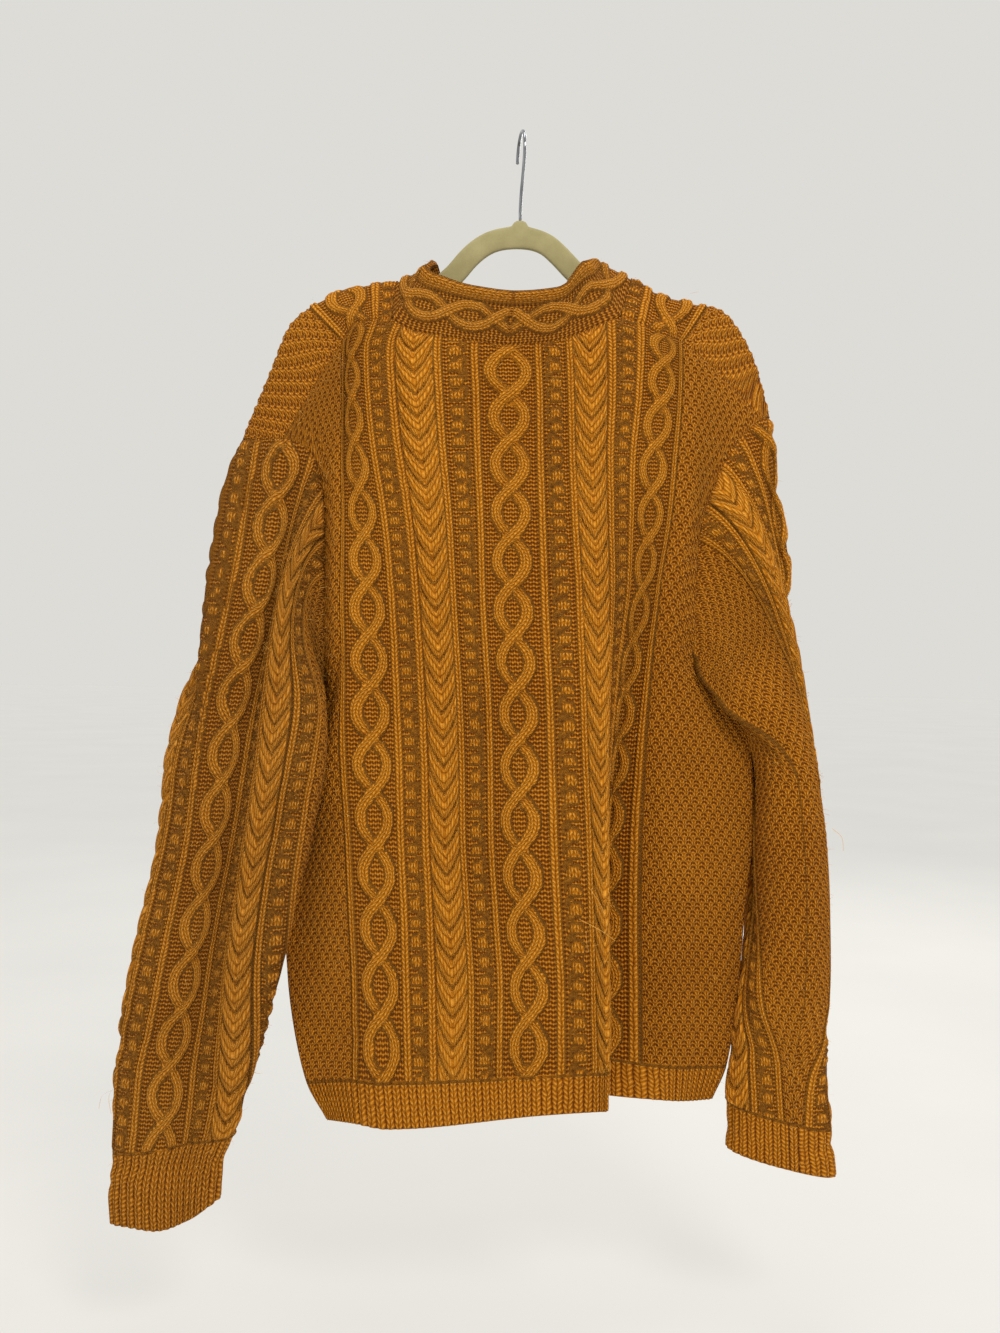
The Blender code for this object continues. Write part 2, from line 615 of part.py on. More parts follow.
def front(side, parts, wool):
    s = side_sign(side)
    wall = Wall()
    rows = front_line(side)
    last = rows[-1][0]
    ring, _ = RINGS[side]
    outer = []
    for row, level in rows:
        edge = v_edge(level)
        if row < 0:
            places = hem_columns(SIDE_AT, edge)
        elif row == last:
            places = [(a, 0.0) for a, _ in half_columns(CROSSED_REPEAT)[::-1] if a >= NECK_AT]
        else:
            repeat = row / 2 if row > ARMPIT_ROW[side] else row_repeat(row)
            places = [(a, h) for a, h in half_columns(repeat)[::-1] if a > edge + 4.0] + [(edge, 0.0)]
        points = []
        for across, height in places:
            fade = ease((SIDE_AT - across) / SEAM_FADE) * ease((across - edge) / SEAM_FADE) * ease((last - row) / 2.0)
            if row == last:
                place = shoulder_place(side, across)
            else:
                place = front_point(side, across, level)
                if fade * height > 0:
                    place = place + front_way(side, across, level) * height * fade
                if across == SIDE_AT and row <= ARMPIT_ROW[side]:
                    place = place + np.array([0.0, SEAM_GAP, 0.0])
            points.append((SIDE_AT - across, place))
        outer.append(wall.row(points))
    wall.sheet(outer)
    armpit = ARMPIT_ROW[side]
    lower = [row for row in BODY_INNER_ROWS if row <= armpit]
    chosen = sorted({*lower, *inner_rows(armpit, last, {last - FRONT_OVER_ROWS, last - 2})})
    inner = []
    for row, level in rows:
        if row not in chosen:
            continue
        edge = NECK_AT if row == last else v_edge(level)
        points = []
        for across in [a for a in FRONT_INNER if a > edge + 7.0] + [edge]:
            if row == last:
                place = shoulder_place(side, across)
            else:
                place = front_point(side, across, level)
            way = front_way(side, across, level)
            if across == SIDE_AT and row < last:
                way = edge_way(side, row) if row <= armpit else ring[row - armpit][2]
            place = place - way * WALL
            if across == SIDE_AT and row <= armpit:
                place = place + np.array([0.0, SEAM_GAP, 0.0])
            points.append((SIDE_AT - across, place))
        inner.append(wall.row(points))
    wall.sheet(inner)
    numbers = [row for row, _ in rows]
    for end in (0, -1):
        wall.strip(
            [(row, line[end][1]) for row, line in zip(numbers, outer)],
            [(row, line[end][1]) for row, line in zip(chosen, inner)],
        )
    wall.strip(outer[0], inner[0])
    wall.strip(*([(-k, i) for k, i in line[::-1]] for line in (outer[-1], inner[-1])))
    return wall.build("front_" + side, wool, parts)


def band(side, parts, wool):
    s = side_sign(side)
    wall = Wall()
    seam = []
    for row, place, way, to_band in front_edge(side):
        level = dict(front_line(side))[row]
        free = np.array([read(BAND_ON_FRONT, "level", name, level) for name in ("dx", "dy", "dz")])
        free[0] *= -s
        seam.append((row, place + to_band * SEAM_GAP, way, free))
    last = seam[-1][0]
    half = [a for a, _ in half_columns(CROSSED_REPEAT) if a < NECK_AT][::-1] + [0.0]
    for across in half:
        level = top_level(s * across)
        place = back_point(s * across, level)
        way = back_normal(s * across, level)
        free = np.array([read(BAND_ON_BACK, "across", name, s * across) for name in ("dx", "dy", "dz")])
        if across == 0.0:
            place = place + np.array([s * SEAM_GAP / 2, 0.0, 0.0])
        seam.append((last + 1 + len(seam), place + np.array([0.0, 0.0, SEAM_GAP]), way, free))
    base = []
    for row, place, way, free in seam:
        base.append([place + free * share for share in BAND_SHARES])
    outer, ways = [], []
    for k, (row, place, way, free) in enumerate(seam):
        before, after = base[max(k - 1, 0)], base[min(k + 1, len(base) - 1)]
        line_ways = []
        for i in range(len(BAND_SHARES)):
            along = np.array([1.0, 0.0, 0.0]) if k == len(seam) - 1 else after[i] - before[i]
            n = unit(np.cross(along, free))
            line_ways.append(n if np.dot(n, way) > 0 else -n)
        line_ways[0] = way
        line_ways[1] = unit(line_ways[1] + way)
        ways.append(line_ways)
        crossed = k % ROWS_PER_REPEAT == 1
        heights = (0.0, BAND_STRAND, BAND_STRAND if crossed else OVAL_FILL, BAND_STRAND, 0.3, BAND_STRAND, 0.0)
        calm = 1.0 if 0 < k < len(seam) - 1 else 0.0
        outer.append(wall.row([(share, p + n * h * calm) for share, p, n, h in
                               zip(BAND_SHARES, base[k], line_ways, heights)]))
    wall.sheet(outer)
    armpit = ARMPIT_ROW[side]
    lower = [row for row in BODY_INNER_ROWS if row <= armpit]
    rows = sorted({*lower, *inner_rows(armpit, last, {last - FRONT_OVER_ROWS, last - 2})})
    kept = [k for k, (row, _, _, _) in enumerate(seam) if row in rows]
    neck_from = next(k for k, (row, _, _, _) in enumerate(seam) if row == last)
    inner_half = [a for a in BACK_INNER if 0 <= a < NECK_AT]
    kept += [neck_from + 1 + half.index(a) for a in half if a in inner_half]
    inner = []
    for k in kept:
        inner.append(wall.row([(BAND_SHARES[i], base[k][i] - ways[k][i] * WALL) for i in (0, 3, 6)]))
    wall.sheet(inner)
    split = kept.index(neck_from)
    wall.strip([(k, outer[k][0][1]) for k in range(neck_from + 1)],
               [(k, inner[i][0][1]) for i, k in enumerate(kept[:split + 1])])
    neck_across = dict(zip(range(neck_from, len(seam)), [NECK_AT, *half]))
    wall.strip([(neck_across[k], outer[k][0][1]) for k in range(len(seam) - 1, neck_from - 1, -1)],
               [(neck_across[kept[i]], inner[i][0][1]) for i in range(len(kept) - 1, split - 1, -1)])
    wall.strip([(k, outer[k][-1][1]) for k in range(len(seam))], [(k, inner[i][-1][1]) for i, k in enumerate(kept)])
    wall.strip(outer[0], inner[0])
    wall.strip(outer[-1], inner[-1])
    return wall.build("band_" + side, wool, parts)


@functools.lru_cache(None)
def oval_line(side, z):
    """A sleeve's outline at a height: places, how far along it each is, and its own heights."""
    table = SLEEVES[side]
    names = ("out", "in", "near", "far", "zout", "zin", "skew")
    out, inside, near, far, zout, zin, skew = (read(table, "z", name, z) for name in names)
    turns = np.linspace(0.0, 2 * math.pi, 97)
    power = 2.0 / OVAL_POWER
    x = (out + inside) / 2 + (out - inside) / 2 * np.sign(np.cos(turns)) * np.abs(np.cos(turns)) ** power
    y = (near + far) / 2 + (near - far) / 2 * np.sign(np.sin(turns)) * np.abs(np.sin(turns)) ** power
    y += skew * (2 * (x - inside) / (out - inside) - 1)
    lengths = np.concatenate([[0.0], np.cumsum(np.hypot(np.diff(x), np.diff(y)))])
    return x, y, zin + (zout - zin) * (x - inside) / (out - inside), lengths


def oval(side, z, share):
    """A point round a sleeve: share 0 is the outermost, 0.25 the nearest, 0.5 the innermost."""
    x, y, up, lengths = oval_line(side, z)
    at = (share % 1.0) * lengths[-1]
    return np.array([float(np.interp(at, lengths, values)) for values in (x, y, up)])


@functools.lru_cache(None)
def sleeve_guides(side, z):
    return [read(SLEEVES[side], "z", name, z) for name in ("centre", "plait", "half")]


def sleeve_share(side, z, across):
    """How far round the sleeve a line of knitting runs."""
    centre, plait, half = sleeve_guides(side, z)
    return float(monotone([-half, 0.0, PLAIT_AT, half], [centre - 0.5, centre, plait, centre + 0.5], across))


def sleeve_low(side, z, across):
    place = oval(side, z, sleeve_share(side, z, across))
    place[1] += SLEEVE_VALLEY[side] * math.exp(-(((across - VALLEY_AT) / VALLEY_WIDTH) ** 2))
    return place


def sleeve_across(side, z, part):
    """The offset of a column that is named by its own offset, or past the pattern by a share of the moss stitch."""
    half = sleeve_guides(side, z)[2]
    if abs(part) <= SLEEVE_MOSS_AT:
        return part
    return math.copysign(SLEEVE_MOSS_AT + (abs(part) - SLEEVE_MOSS_AT) * (half - SLEEVE_MOSS_AT), part)


@functools.lru_cache(None)
def ring_table(side):
    ring, _ = RINGS[side]
    return [key for key, _, _, _ in ring], np.array([[p, n, g] for _, p, n, g in ring])


def ring_at(side, share):
    """The place, way out and way in at a share of the arm's opening, from -1 through 0 at the shoulder to 1."""
    keys, values = ring_table(side)
    return [np.array([float(np.interp(share, keys, values[:, j, i])) for i in range(3)]) for j in range(3)]


def sleeve_point(side, across, step):
    """A place on a sleeve: step 0 is the arm's opening, 1 is the end of the upper sleeve, and then down to the cuff."""
    if step >= 1.0:
        return sleeve_low(side, sleeve_z(side, step), across)
    low = sleeve_low(side, SLEEVE_JOIN_Z, across)
    below = sleeve_low(side, SLEEVE_JOIN_Z - 20.0, across)
    share = across / sleeve_guides(side, SLEEVE_JOIN_Z)[2]
    place, way, into = ring_at(side, share)
    start, bulge = SLEEVE_START[side]
    reach = np.linalg.norm(low - place)
    turn = min(abs(share), 1.0)
    swell = bulge * math.sin(math.pi * turn) ** 2
    leave = unit(into * (start + (1 - start) * turn) + way * swell + np.array([0.0, 0.0, -0.45 * (1 - turn)]))
    arrive = unit(below - low)
    t = step
    return (
        (2 * t**3 - 3 * t**2 + 1) * (place + unit(into) * SEAM_GAP)
        + (t**3 - 2 * t**2 + t) * leave * reach * 0.8
        + (3 * t**2 - 2 * t**3) * low
        + (t**3 - t**2) * arrive * reach * 0.7
    )


def sleeve_z(side, step):
    return SLEEVE_JOIN_Z + (SLEEVES[side]["z"][-1] - SLEEVE_JOIN_Z) * (step - 1.0)


def sleeve(side, parts, wool):
    wall = Wall()
    ring, split = RINGS[side]
    hand = side_sign(side)
    half_list = [(a, h) for a, h in half_columns(0.0) if a <= SLEEVE_MOSS_AT]
    cuff_z = SLEEVES[side]["z"][CUFF_ROW[side]]
    length = SLEEVE_JOIN_Z - SLEEVES[side]["z"][-1]
    upper = [i / SLEEVE_UPPER_ROWS for i in range(1, SLEEVE_UPPER_ROWS + 1)]
    count = round((SLEEVE_JOIN_Z - cuff_z) / SLEEVE_REPEAT * SLEEVE_ROWS_PER_REPEAT)
    lower = [1.0 + (SLEEVE_JOIN_Z - cuff_z) / length * (i / count) for i in range(1, count + 1)]
    cuff = [lower[-1] + 3.0 / length, 2.0]

    def way_out(across, step):
        a = sleeve_point(side, across + 2.0, step) - sleeve_point(side, across - 2.0, step)
        b = sleeve_point(side, across, min(step + 0.01, 2.0)) - sleeve_point(side, across, step - 0.01)
        return unit(np.cross(a, b)) * hand

    def across_and_key(part, step):
        z = sleeve_z(side, max(step, 1.0))
        across = sleeve_across(side, z, part)
        return across, across / sleeve_guides(side, z)[2]

    outer = [wall.row([(key, place + into * SEAM_GAP) for key, place, _, into in ring[:-1]])]
    moss = [SLEEVE_MOSS_AT + share for share in MOSS_SHARES]
    for number, step in enumerate(upper + lower):
        repeat = (number + 1) / SLEEVE_ROWS_PER_REPEAT
        gap = strand_gap(repeat)
        line = [(gap, STRAND), *half_list[1:]]
        places = [(-m, 0.0) for m in moss[::-1]] + [(-a, h) for a, h in line[::-1]]
        places += [middle_column(repeat)] + line + [(m, 0.0) for m in moss]
        places = [(-(SLEEVE_MOSS_AT + 1.0), 0.0)] + places
        points = []
        for part, height in places:
            across, key = across_and_key(part, step)
            place = sleeve_point(side, across, step)
            if height > 0:
                place = place + way_out(across, step) * height * ease(step * SLEEVE_UPPER_ROWS / 2.0 - 0.3)
            points.append((key, place))
        outer.append(wall.row(points))
    for step in cuff:
        ribs = 2 * round(2 * read(SLEEVES[side], "z", "half", sleeve_z(side, step)) / HEM_RIB)
        points = []
        for i in range(ribs):
            key = -1.0 + 2.0 * i / ribs
            half = read(SLEEVES[side], "z", "half", sleeve_z(side, step))
            place = sleeve_low(side, sleeve_z(side, step), key * half)
            middle = sleeve_low(side, sleeve_z(side, step), key * half + half)
            place = place + unit((place - middle) * np.array([0.3, 1.0, 0.0])) * HEM_RIB_DEPTH * (i % 2)
            points.append((key, place))
        outer.append(wall.row(points))
    wall.sheet(outer, ring=True)

    armpit = ARMPIT_ROW[side]
    front_last = front_line(side)[-1][0]
    front_rows_kept = [row for row in inner_rows(armpit, front_last, {front_last - FRONT_OVER_ROWS, front_last - 2})]
    back_rows_kept = [row for row in BODY_INNER_ROWS if row > armpit]
    kept = [row - armpit for row in front_rows_kept if row < front_last]
    kept += [split + LAST - row for row in back_rows_kept[::-1]]
    inner = [wall.row([(ring[i][0], ring[i][1] - ring[i][2] * WALL + ring[i][3] * SEAM_GAP) for i in kept])]
    steps = upper[:3] + upper[3::2] + lower[1::2] + [cuff[0], cuff[1]]
    for step in steps:
        points = []
        for part in [-(SLEEVE_MOSS_AT + 1.0), *(-p for p in SLEEVE_INNER[::-1]), 0.0, *SLEEVE_INNER]:
            across, key = across_and_key(part, step)
            points.append((key, sleeve_point(side, across, step) - way_out(across, step) * WALL))
        inner.append(wall.row(points))
    wall.sheet(inner, ring=True)
    outer_ring, inner_ring = outer[0], inner[0]
    in_ring = dict(zip(kept, inner_ring))
    wall.strip([(i, outer_ring[i][1]) for i in range(split + 1)], [(i, in_ring[i][1]) for i in kept if i <= split])
    back_rows = range(armpit, LAST + 1)
    turned = {row: (split + LAST - row) % (len(ring) - 1) for row in back_rows}
    wall.strip(
        [(row, outer_ring[turned[row]][1]) for row in back_rows],
        [(row, in_ring[turned[row]][1]) for row in back_rows if turned[row] in in_ring],
    )
    ends = [[*line, (line[0][0] + 2.0, line[0][1])] for line in (outer[-1], inner[-1])]
    wall.strip(*ends)
    return wall.build("sleeve_" + side, wool, parts)


def hanger(parts, flock, chrome):
    """The flocked arms in one piece, and the wire hook that stands in their top."""
    tops = [np.array([x, 0.0, z]) for x, z in zip(ARM_TOP["x"], ARM_TOP["z"])]
    lows = []
    for i, p in enumerate(tops):
        along = unit(tops[min(i + 1, len(tops) - 1)] - tops[max(i - 1, 0)])
        depth = ARM_DEPTH * (0.45 if i in (0, len(tops) - 1) else 1.0)
        lows.append(p - np.array([-along[2], 0.0, along[0]]) * depth)
    mesh = bpy.data.meshes.new("hanger_arms")
    count = len(tops)
    faces = [(i, i + 1, count + i + 1, count + i) for i in range(count - 1)]
    mesh.from_pydata([tuple(p * MM) for p in tops + lows], [], faces)
    mesh.materials.append(flock)
    arms = bpy.data.objects.new("hanger_arms", mesh)
    parts.objects.link(arms)
    thick = arms.modifiers.new("thickness", "SOLIDIFY")
    thick.thickness = ARM_THICK * MM
    thick.offset = 0.0
    soft = arms.modifiers.new("soft edges", "BEVEL")
    soft.width = 2.0 * MM
    soft.segments = 1
    soft.limit_method = "ANGLE"

    centre_z = -HOOK_RADIUS
    radius = HOOK_RADIUS + WIRE / 2
    path = [(0.0, STEM_BOTTOM), (0.0, STEM_BOTTOM + 12.0)]
    for i in range(1, 8):
        t = i / 8.0
        path.append((-radius * ease(t), STEM_BOTTOM + 12.0 + (centre_z - STEM_BOTTOM - 12.0) * t))
    for i in range(15):
        turn = math.pi * (1 - i / 14.0)
        path.append((radius * math.cos(turn), centre_z + radius * math.sin(turn)))
    curve = bpy.data.curves.new("hanger_hook", "CURVE")
    curve.dimensions = "3D"
    curve.bevel_depth = WIRE / 2 * MM
    curve.bevel_resolution = 1
    curve.use_fill_caps = True
    line = curve.splines.new("POLY")
    line.points.add(len(path) - 1)
    for point, (y, z) in zip(line.points, path):
        point.co = (-HOOK_TURN * y * MM, y * MM, z * MM, 1.0)
    curve.materials.append(chrome)
    parts.objects.link(bpy.data.objects.new("hanger_hook", curve))


def main():
    for thing in list(bpy.data.objects):
        bpy.data.objects.remove(thing)
    parts = bpy.data.collections.new("cardigan")
    bpy.context.scene.collection.children.link(parts)
    wool = new_material("mustard wool", (0.48, 0.19, 0.018), 0.95)
    flock = new_material("olive flock", (0.45, 0.41, 0.16), 0.9)
    chrome = new_material("chrome wire", (0.75, 0.76, 0.78), 0.15, 1.0)
    back(parts, wool)
    for side in ("left", "right"):
        front(side, parts, wool)
        band(side, parts, wool)
        sleeve(side, parts, wool)
    hanger(parts, flock, chrome)


RINGS = {side: armhole(side) for side in ("left", "right")}
main()
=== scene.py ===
"""The looks of the hand-knitted cable cardigan on its flocked hanger.

Each knitted piece is a thin closed shell on its solid's form. Its outer face is a dense grid that carries
the relief of the knitting, and its inner face is a plain one. Tables and sizes are in millimetres.
"""

import math

import bmesh
import bpy
import numpy as np
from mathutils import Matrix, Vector


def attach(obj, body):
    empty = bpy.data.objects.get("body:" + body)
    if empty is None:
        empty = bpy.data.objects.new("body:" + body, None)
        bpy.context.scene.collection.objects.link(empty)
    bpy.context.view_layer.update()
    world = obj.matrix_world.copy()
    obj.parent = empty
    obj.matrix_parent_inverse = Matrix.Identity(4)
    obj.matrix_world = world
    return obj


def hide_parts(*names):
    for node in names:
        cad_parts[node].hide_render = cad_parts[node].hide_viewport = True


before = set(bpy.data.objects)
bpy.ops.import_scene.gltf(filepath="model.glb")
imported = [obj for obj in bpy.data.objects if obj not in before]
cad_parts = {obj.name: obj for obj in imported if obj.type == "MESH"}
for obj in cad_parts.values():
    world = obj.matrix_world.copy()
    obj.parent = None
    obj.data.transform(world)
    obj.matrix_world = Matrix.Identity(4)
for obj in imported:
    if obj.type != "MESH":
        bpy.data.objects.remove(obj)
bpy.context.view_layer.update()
MM = 0.001

# The knitting
STITCH = 4.5
ROW = 3.8
ROWS_PER_REPEAT = 12  # rows of knitting in one crossing and one oval of a cable
STITCHES_ALONG = 13.8  # and the stitches along a strand, which is longer
COLUMN_STEP = 1.5
ROW_STEP = 3.0
INNER_STEP = 4
WALL = 4.0
RIM_OUT = 1.3
INSIDE_HIGH = 0.8  # the relief's height that sets the painted shade on the inside of the wool
SEAM_FADE = 8.0
SEAM_GAP = 0.3
CALM = 14.0  # creases flatten over this much before a seam or the hem
SLEEVE_TUCK = 0.8
STRAND = 3.6
STRAND_HALF = 5.1
STRAND_GROOVE = 0.8
FULLER = 0.06  # how much fuller than a wave the ovals are
DOME = 0.8  # the purl ground inside an oval
STRAND_SWING = 12.6
OVER = 1.0  # where two strands cross, one rises by this
UNDER = -2.6
RIB = 2.5
RIB_HALF = 3.5
RIB_GROOVE = 0.9
PLAIT = 4.6
PLAITS_PER_REPEAT = 2.0
PLAIT_HALF = 15.4
PLAIT_GROOVE = 1.3
BLOCK = 3.0
BLOCKS_PER_REPEAT = 3.0
MOSS = 1.35
LEAST_STEP = 0.12  # knit stitches lie over what is lower by this
HEM_RIB = 7.9
HEM_RIB_DEPTH = 3.0
HEM_RIB_SUNK = 0.9

# The lines of the patterned panel, from its centre outwards
RIBS_AT = (26.5, 53.2, 90.0, 114.0, 162.5)
BLOCKS_AT = (39.0, 102.0)
PLAIT_AT = 71.0
CHAIN_AT = 138.0
PANEL_END = 167.0
PANEL_EDGE = 1.5
SIDE_AT = 261.0
NECK_AT = 98.0
BAND_SEAM_AT = 52.0
FRONT_SEAM_X = 47.0  # from the middle of the fronts to a band's seam

FIRST_OVAL_Z = -229.6
FIRST_REPEAT = 41.0
REPEAT_GROWTH = 0.43
REPEAT_RANGE = (30.0, 60.0)
FIRST_OVAL_WIDER = 0.22
TOP_LEVEL = -170.0
REGULAR_TOP = -215.0
SEAM_LEVEL = -100.0
SHOULDER_LEVEL = -140.0
FRONT_RISE_ROWS = 16
FRONT_OVER_ROWS = 4
UPPER_FRONT_REPEAT = 45.0
ARMPIT_NEAR = {"left": -520.0, "right": -480.0}
UNDERARM_OPEN = 6.0
SWELL_RISE = 25.0
SWELL_END = 110.0
SWELL_FROM = 200.0
V_START = -400.0
V_END = -190.0
HEM_LEVEL = -861.0
HEM_END_LEVEL = -897.0
HEM_EDGE = 3.0
SIGN = {"left": -1.0, "right": 1.0}


def columns(names, rows):
    """A table as a dictionary from each column's name to its numbers."""
    return {name: [row[i] for row in rows] for i, name in enumerate(names.split())}


# The back, a row for each level, and x, y and z for eight places across it, as in the part's source
BACK = columns(
    "level lx ly lz fx fy fz cx cy cz mx my rx ry rz hx hy hz kx ky kz sx sy sz",
    [
        (-170, -214, -27, -292, -161, -20, -200, -148, -19, -182, -10, -36, 62, -28, -170,
         134, -18, -184, 160, -20, -203, 226, -12, -263),
        (-205, -206, -27, -293, -161, -23, -225, -153, -22, -212, -10, -36, 64, -30, -205,
         133, -22, -212, 160, -23, -226, 207, -18, -280),
        (-250, -192, -23, -300, -160, -26, -262, -151, -27, -253, -8, -36, 66, -32, -250,
         130, -26, -253, 159, -26, -262, 190, -22, -303),
        (-300, -180, -15, -322, -160, -29, -305, -147, -31, -301, -7, -37, 67, -33, -300,
         124, -29, -301, 156, -28, -305, 177, -24, -338),
        (-360, -176, -10, -368, -158, -33, -362, -139, -34, -360, -5, -38, 70, -34, -360,
         121, -30, -360, 150, -30, -362, 168, -21, -375),
        (-430, -175, -10, -432, -158, -34, -430, -133, -36, -430, -3, -40, 74, -39, -430,
         115, -23, -430, 140, -29, -430, 166, -15, -435),
        (-480, -175, -7, -480, -157, -34, -480, -130, -37, -480, 0, -41, 75, -46, -480,
         107, -14, -480, 139, -22, -480, 168, -10, -480),
        (-520, -176, 2, -520, -156, -34, -520, -128, -38, -520, 3, -42, 76, -51, -520,
         102, -7, -520, 141, -18, -520, 194, -3, -520),
        (-570, -199, 12, -570, -156, -33, -570, -126, -38, -570, 5, -43, 77, -54, -570,
         97, -1, -570, 143, -14, -570, 223, 5, -570),
        (-650, -211, 15, -650, -151, -30, -650, -122, -40, -650, 7, -44, 80, -58, -650,
         91, 5, -650, 145, -8, -650, 227, 11, -650),
        (-720, -212, 14, -720, -147, -28, -720, -118, -40, -720, 12, -44, 82, -60, -720,
         90, 8, -720, 146, -6, -720, 221, 12, -720),
        (-790, -207, 8, -790, -143, -26, -790, -115, -40, -790, 17, -44, 84, -60, -790,
         91, 8, -790, 148, -4, -790, 216, 12, -790),
        (-861, -187, -4, -881, -141, -25, -872, -112, -40, -869, 17, -44, 86, -60, -851,
         92, 7, -858, 149, -2, -863, 206, 12, -866),
        (-897, -167, -8, -915, -137, -24, -913, -108, -39, -912, 18, -44, 86, -59, -886,
         93, 5, -893, 150, 0, -896, 193, 12, -898),
    ],
)
BACK_PLACES = (
    (-SIDE_AT, "l"), (-167.0, "f"), (-CHAIN_AT, "c"), (0.0, "m"),
    (PLAIT_AT, "r"), (CHAIN_AT, "h"), (185.0, "k"), (SIDE_AT, "s"),
)
NECK_LINE = columns(
    "across level",
    [(-98, -170), (-66, -190), (-34, -200), (0, -205), (38, -201), (70, -189), (98, -172)],
)

# The upper fronts, from the arm's opening over the top of the shoulder towards the seam on the back:
# a level, and across, x, y and z for places along it
FRONT_UPPER = {
    "left": [
        (-430, [(261, -176, 12, -432), (138, -138, 34, -430), (98, -108, 36, -430), (48, -62, 37, -430)]),
        (-360, [(261, -180, 16, -366), (138, -142, 33, -360), (98, -108, 35, -360), (48, -62, 36, -360)]),
        (-300, [(261, -190, 21, -318), (138, -146, 30, -302), (98, -106, 33, -300), (48, -60, 35, -300)]),
        (-240, [(261, -220, 20, -294), (138, -150, 23, -246), (98, -105, 28, -240), (48, -58, 33, -240)]),
        (-190, [(261, -246, 8, -288), (185, -203, 15, -212), (150, -170, 15, -184), (98, -106, 17, -178)]),
        (-140, [(261, -254, -5, -288), (215, -229, 0, -222), (185, -211, 0, -179), (150, -178, 0, -155),
                (98, -113, 0, -134)]),
    ],
    "right": [
        (-430, [(261, 169, 6, -434), (138, 132, 33, -430), (98, 104, 36, -430), (48, 58, 37, -430)]),
        (-360, [(261, 173, 17, -362), (138, 134, 32, -360), (98, 102, 35, -360), (48, 57, 36, -360)]),
        (-300, [(261, 186, 22, -312), (138, 136, 29, -300), (98, 100, 33, -300), (48, 54, 35, -300)]),
        (-240, [(261, 210, 18, -276), (138, 138, 23, -244), (98, 99, 28, -240), (48, 52, 33, -240)]),
        (-190, [(261, 228, 13, -266), (185, 190, 15, -205), (150, 158, 15, -184), (98, 98, 17, -178)]),
        (-140, [(261, 235, 1, -260), (215, 216, 0, -200), (185, 194, 0, -169), (150, 157, 0, -153),
                (98, 104, 0, -131)]),
    ],
}
FRONT_DEPTH = columns("level y", [(-897, 38), (-861, 40), (-720, 44), (-570, 42), (-430, 37)])
FRONT_CENTRE = columns("level x", [(-897, 12), (-720, 6), (-520, -2), (-300, -5), (-140, -6)])
FRONT_FOLDS = [(205, 7, 24, 10), (150, -8, 26, -14), (92, 6, 20, 8)]  # across, depth, width and drift

# The sleeves below the arm's opening: the outermost and innermost x, the nearest and furthest y, where the
# cable at the sleeve's centre and the plait beside it run, as shares of the way round, and half the knitting
SLEEVES = {
    "left": columns(
        "z out in near far centre plait half zout zin skew",
        [
            (-600, -314, -171, -50, 1, 0.22, 0.34, 205, -600, -600, 15),
            (-655, -323, -181, -49, 0, 0.22, 0.34, 195, -655, -655, 14),
            (-710, -332, -195, -49, -2, 0.22, 0.35, 184, -710, -710, 12),
            (-757, -340, -206, -48, -4, 0.22, 0.36, 172, -757, -757, 8),
            (-805, -348, -216, -47, -5, 0.22, 0.38, 160, -808, -802, 5),
            (-860, -355, -229, -45, -5, 0.21, 0.41, 146, -866, -854, 2),
            (-930, -357, -250, -42, -7, 0.22, 0.44, 128, -939, -923, 0),
            (-968, -360, -259, -43, -6, 0.22, 0.44, 124, -972, -950, 0),
            (-990, -358, -261, -42, -7, 0.22, 0.44, 122, -1003, -976, 0),
        ],
    ),
    "right": columns(
        "z out in near far centre plait half zout zin skew",
        [
            (-600, 288, 237, -28, 76, -0.24, -0.03, 205, -600, -600, 0),
            (-660, 295, 236, -29, 74, -0.25, -0.04, 195, -660, -660, 0),
            (-725, 298, 234, -28, 70, -0.26, -0.05, 182, -727, -723, 0),
            (-775, 299, 228, -26, 64, -0.27, -0.06, 166, -780, -770, 0),
            (-805, 299, 221, -22, 60, -0.28, -0.07, 156, -814, -796, 0),
            (-860, 298, 213, -14, 46, -0.28, -0.06, 130, -876, -846, 0),
            (-910, 303, 209, -12, 36, -0.28, -0.06, 126, -922, -898, 0),
            (-952, 308, 208, -11, 34, -0.28, -0.06, 124, -966, -942, 0),
        ],
    ),
}
CUFF_Z = {"left": -930.0, "right": -910.0}
SLEEVE_START = {"left": (0.15, 0.5), "right": (0.5, 0.45)}
ARM_WAY = (0.8, -0.6)  # outwards and down, from the arm's opening into the sleeve
SLEEVE_SAG = 0.45
LEAVE = 0.8
ARRIVE = 0.7
JOIN_LENGTH = 20.0
SLEEVE_JOIN_Z = -600.0
SLEEVE_REPEAT = 52.0
SLEEVE_CROSSING = {"left": 262.0, "right": 240.0}  # from the join down the sleeve to a crossing of its cable
SLEEVE_PANEL = 118.0
SLEEVE_MOSS_COLUMNS = 38
OVAL_POWER = 2.4
OVAL_POINTS = 193
SLEEVE_VALLEY = {"left": 9.0, "right": 0.0}
VALLEY_AT = 34.0
VALLEY_WIDTH = 26.0

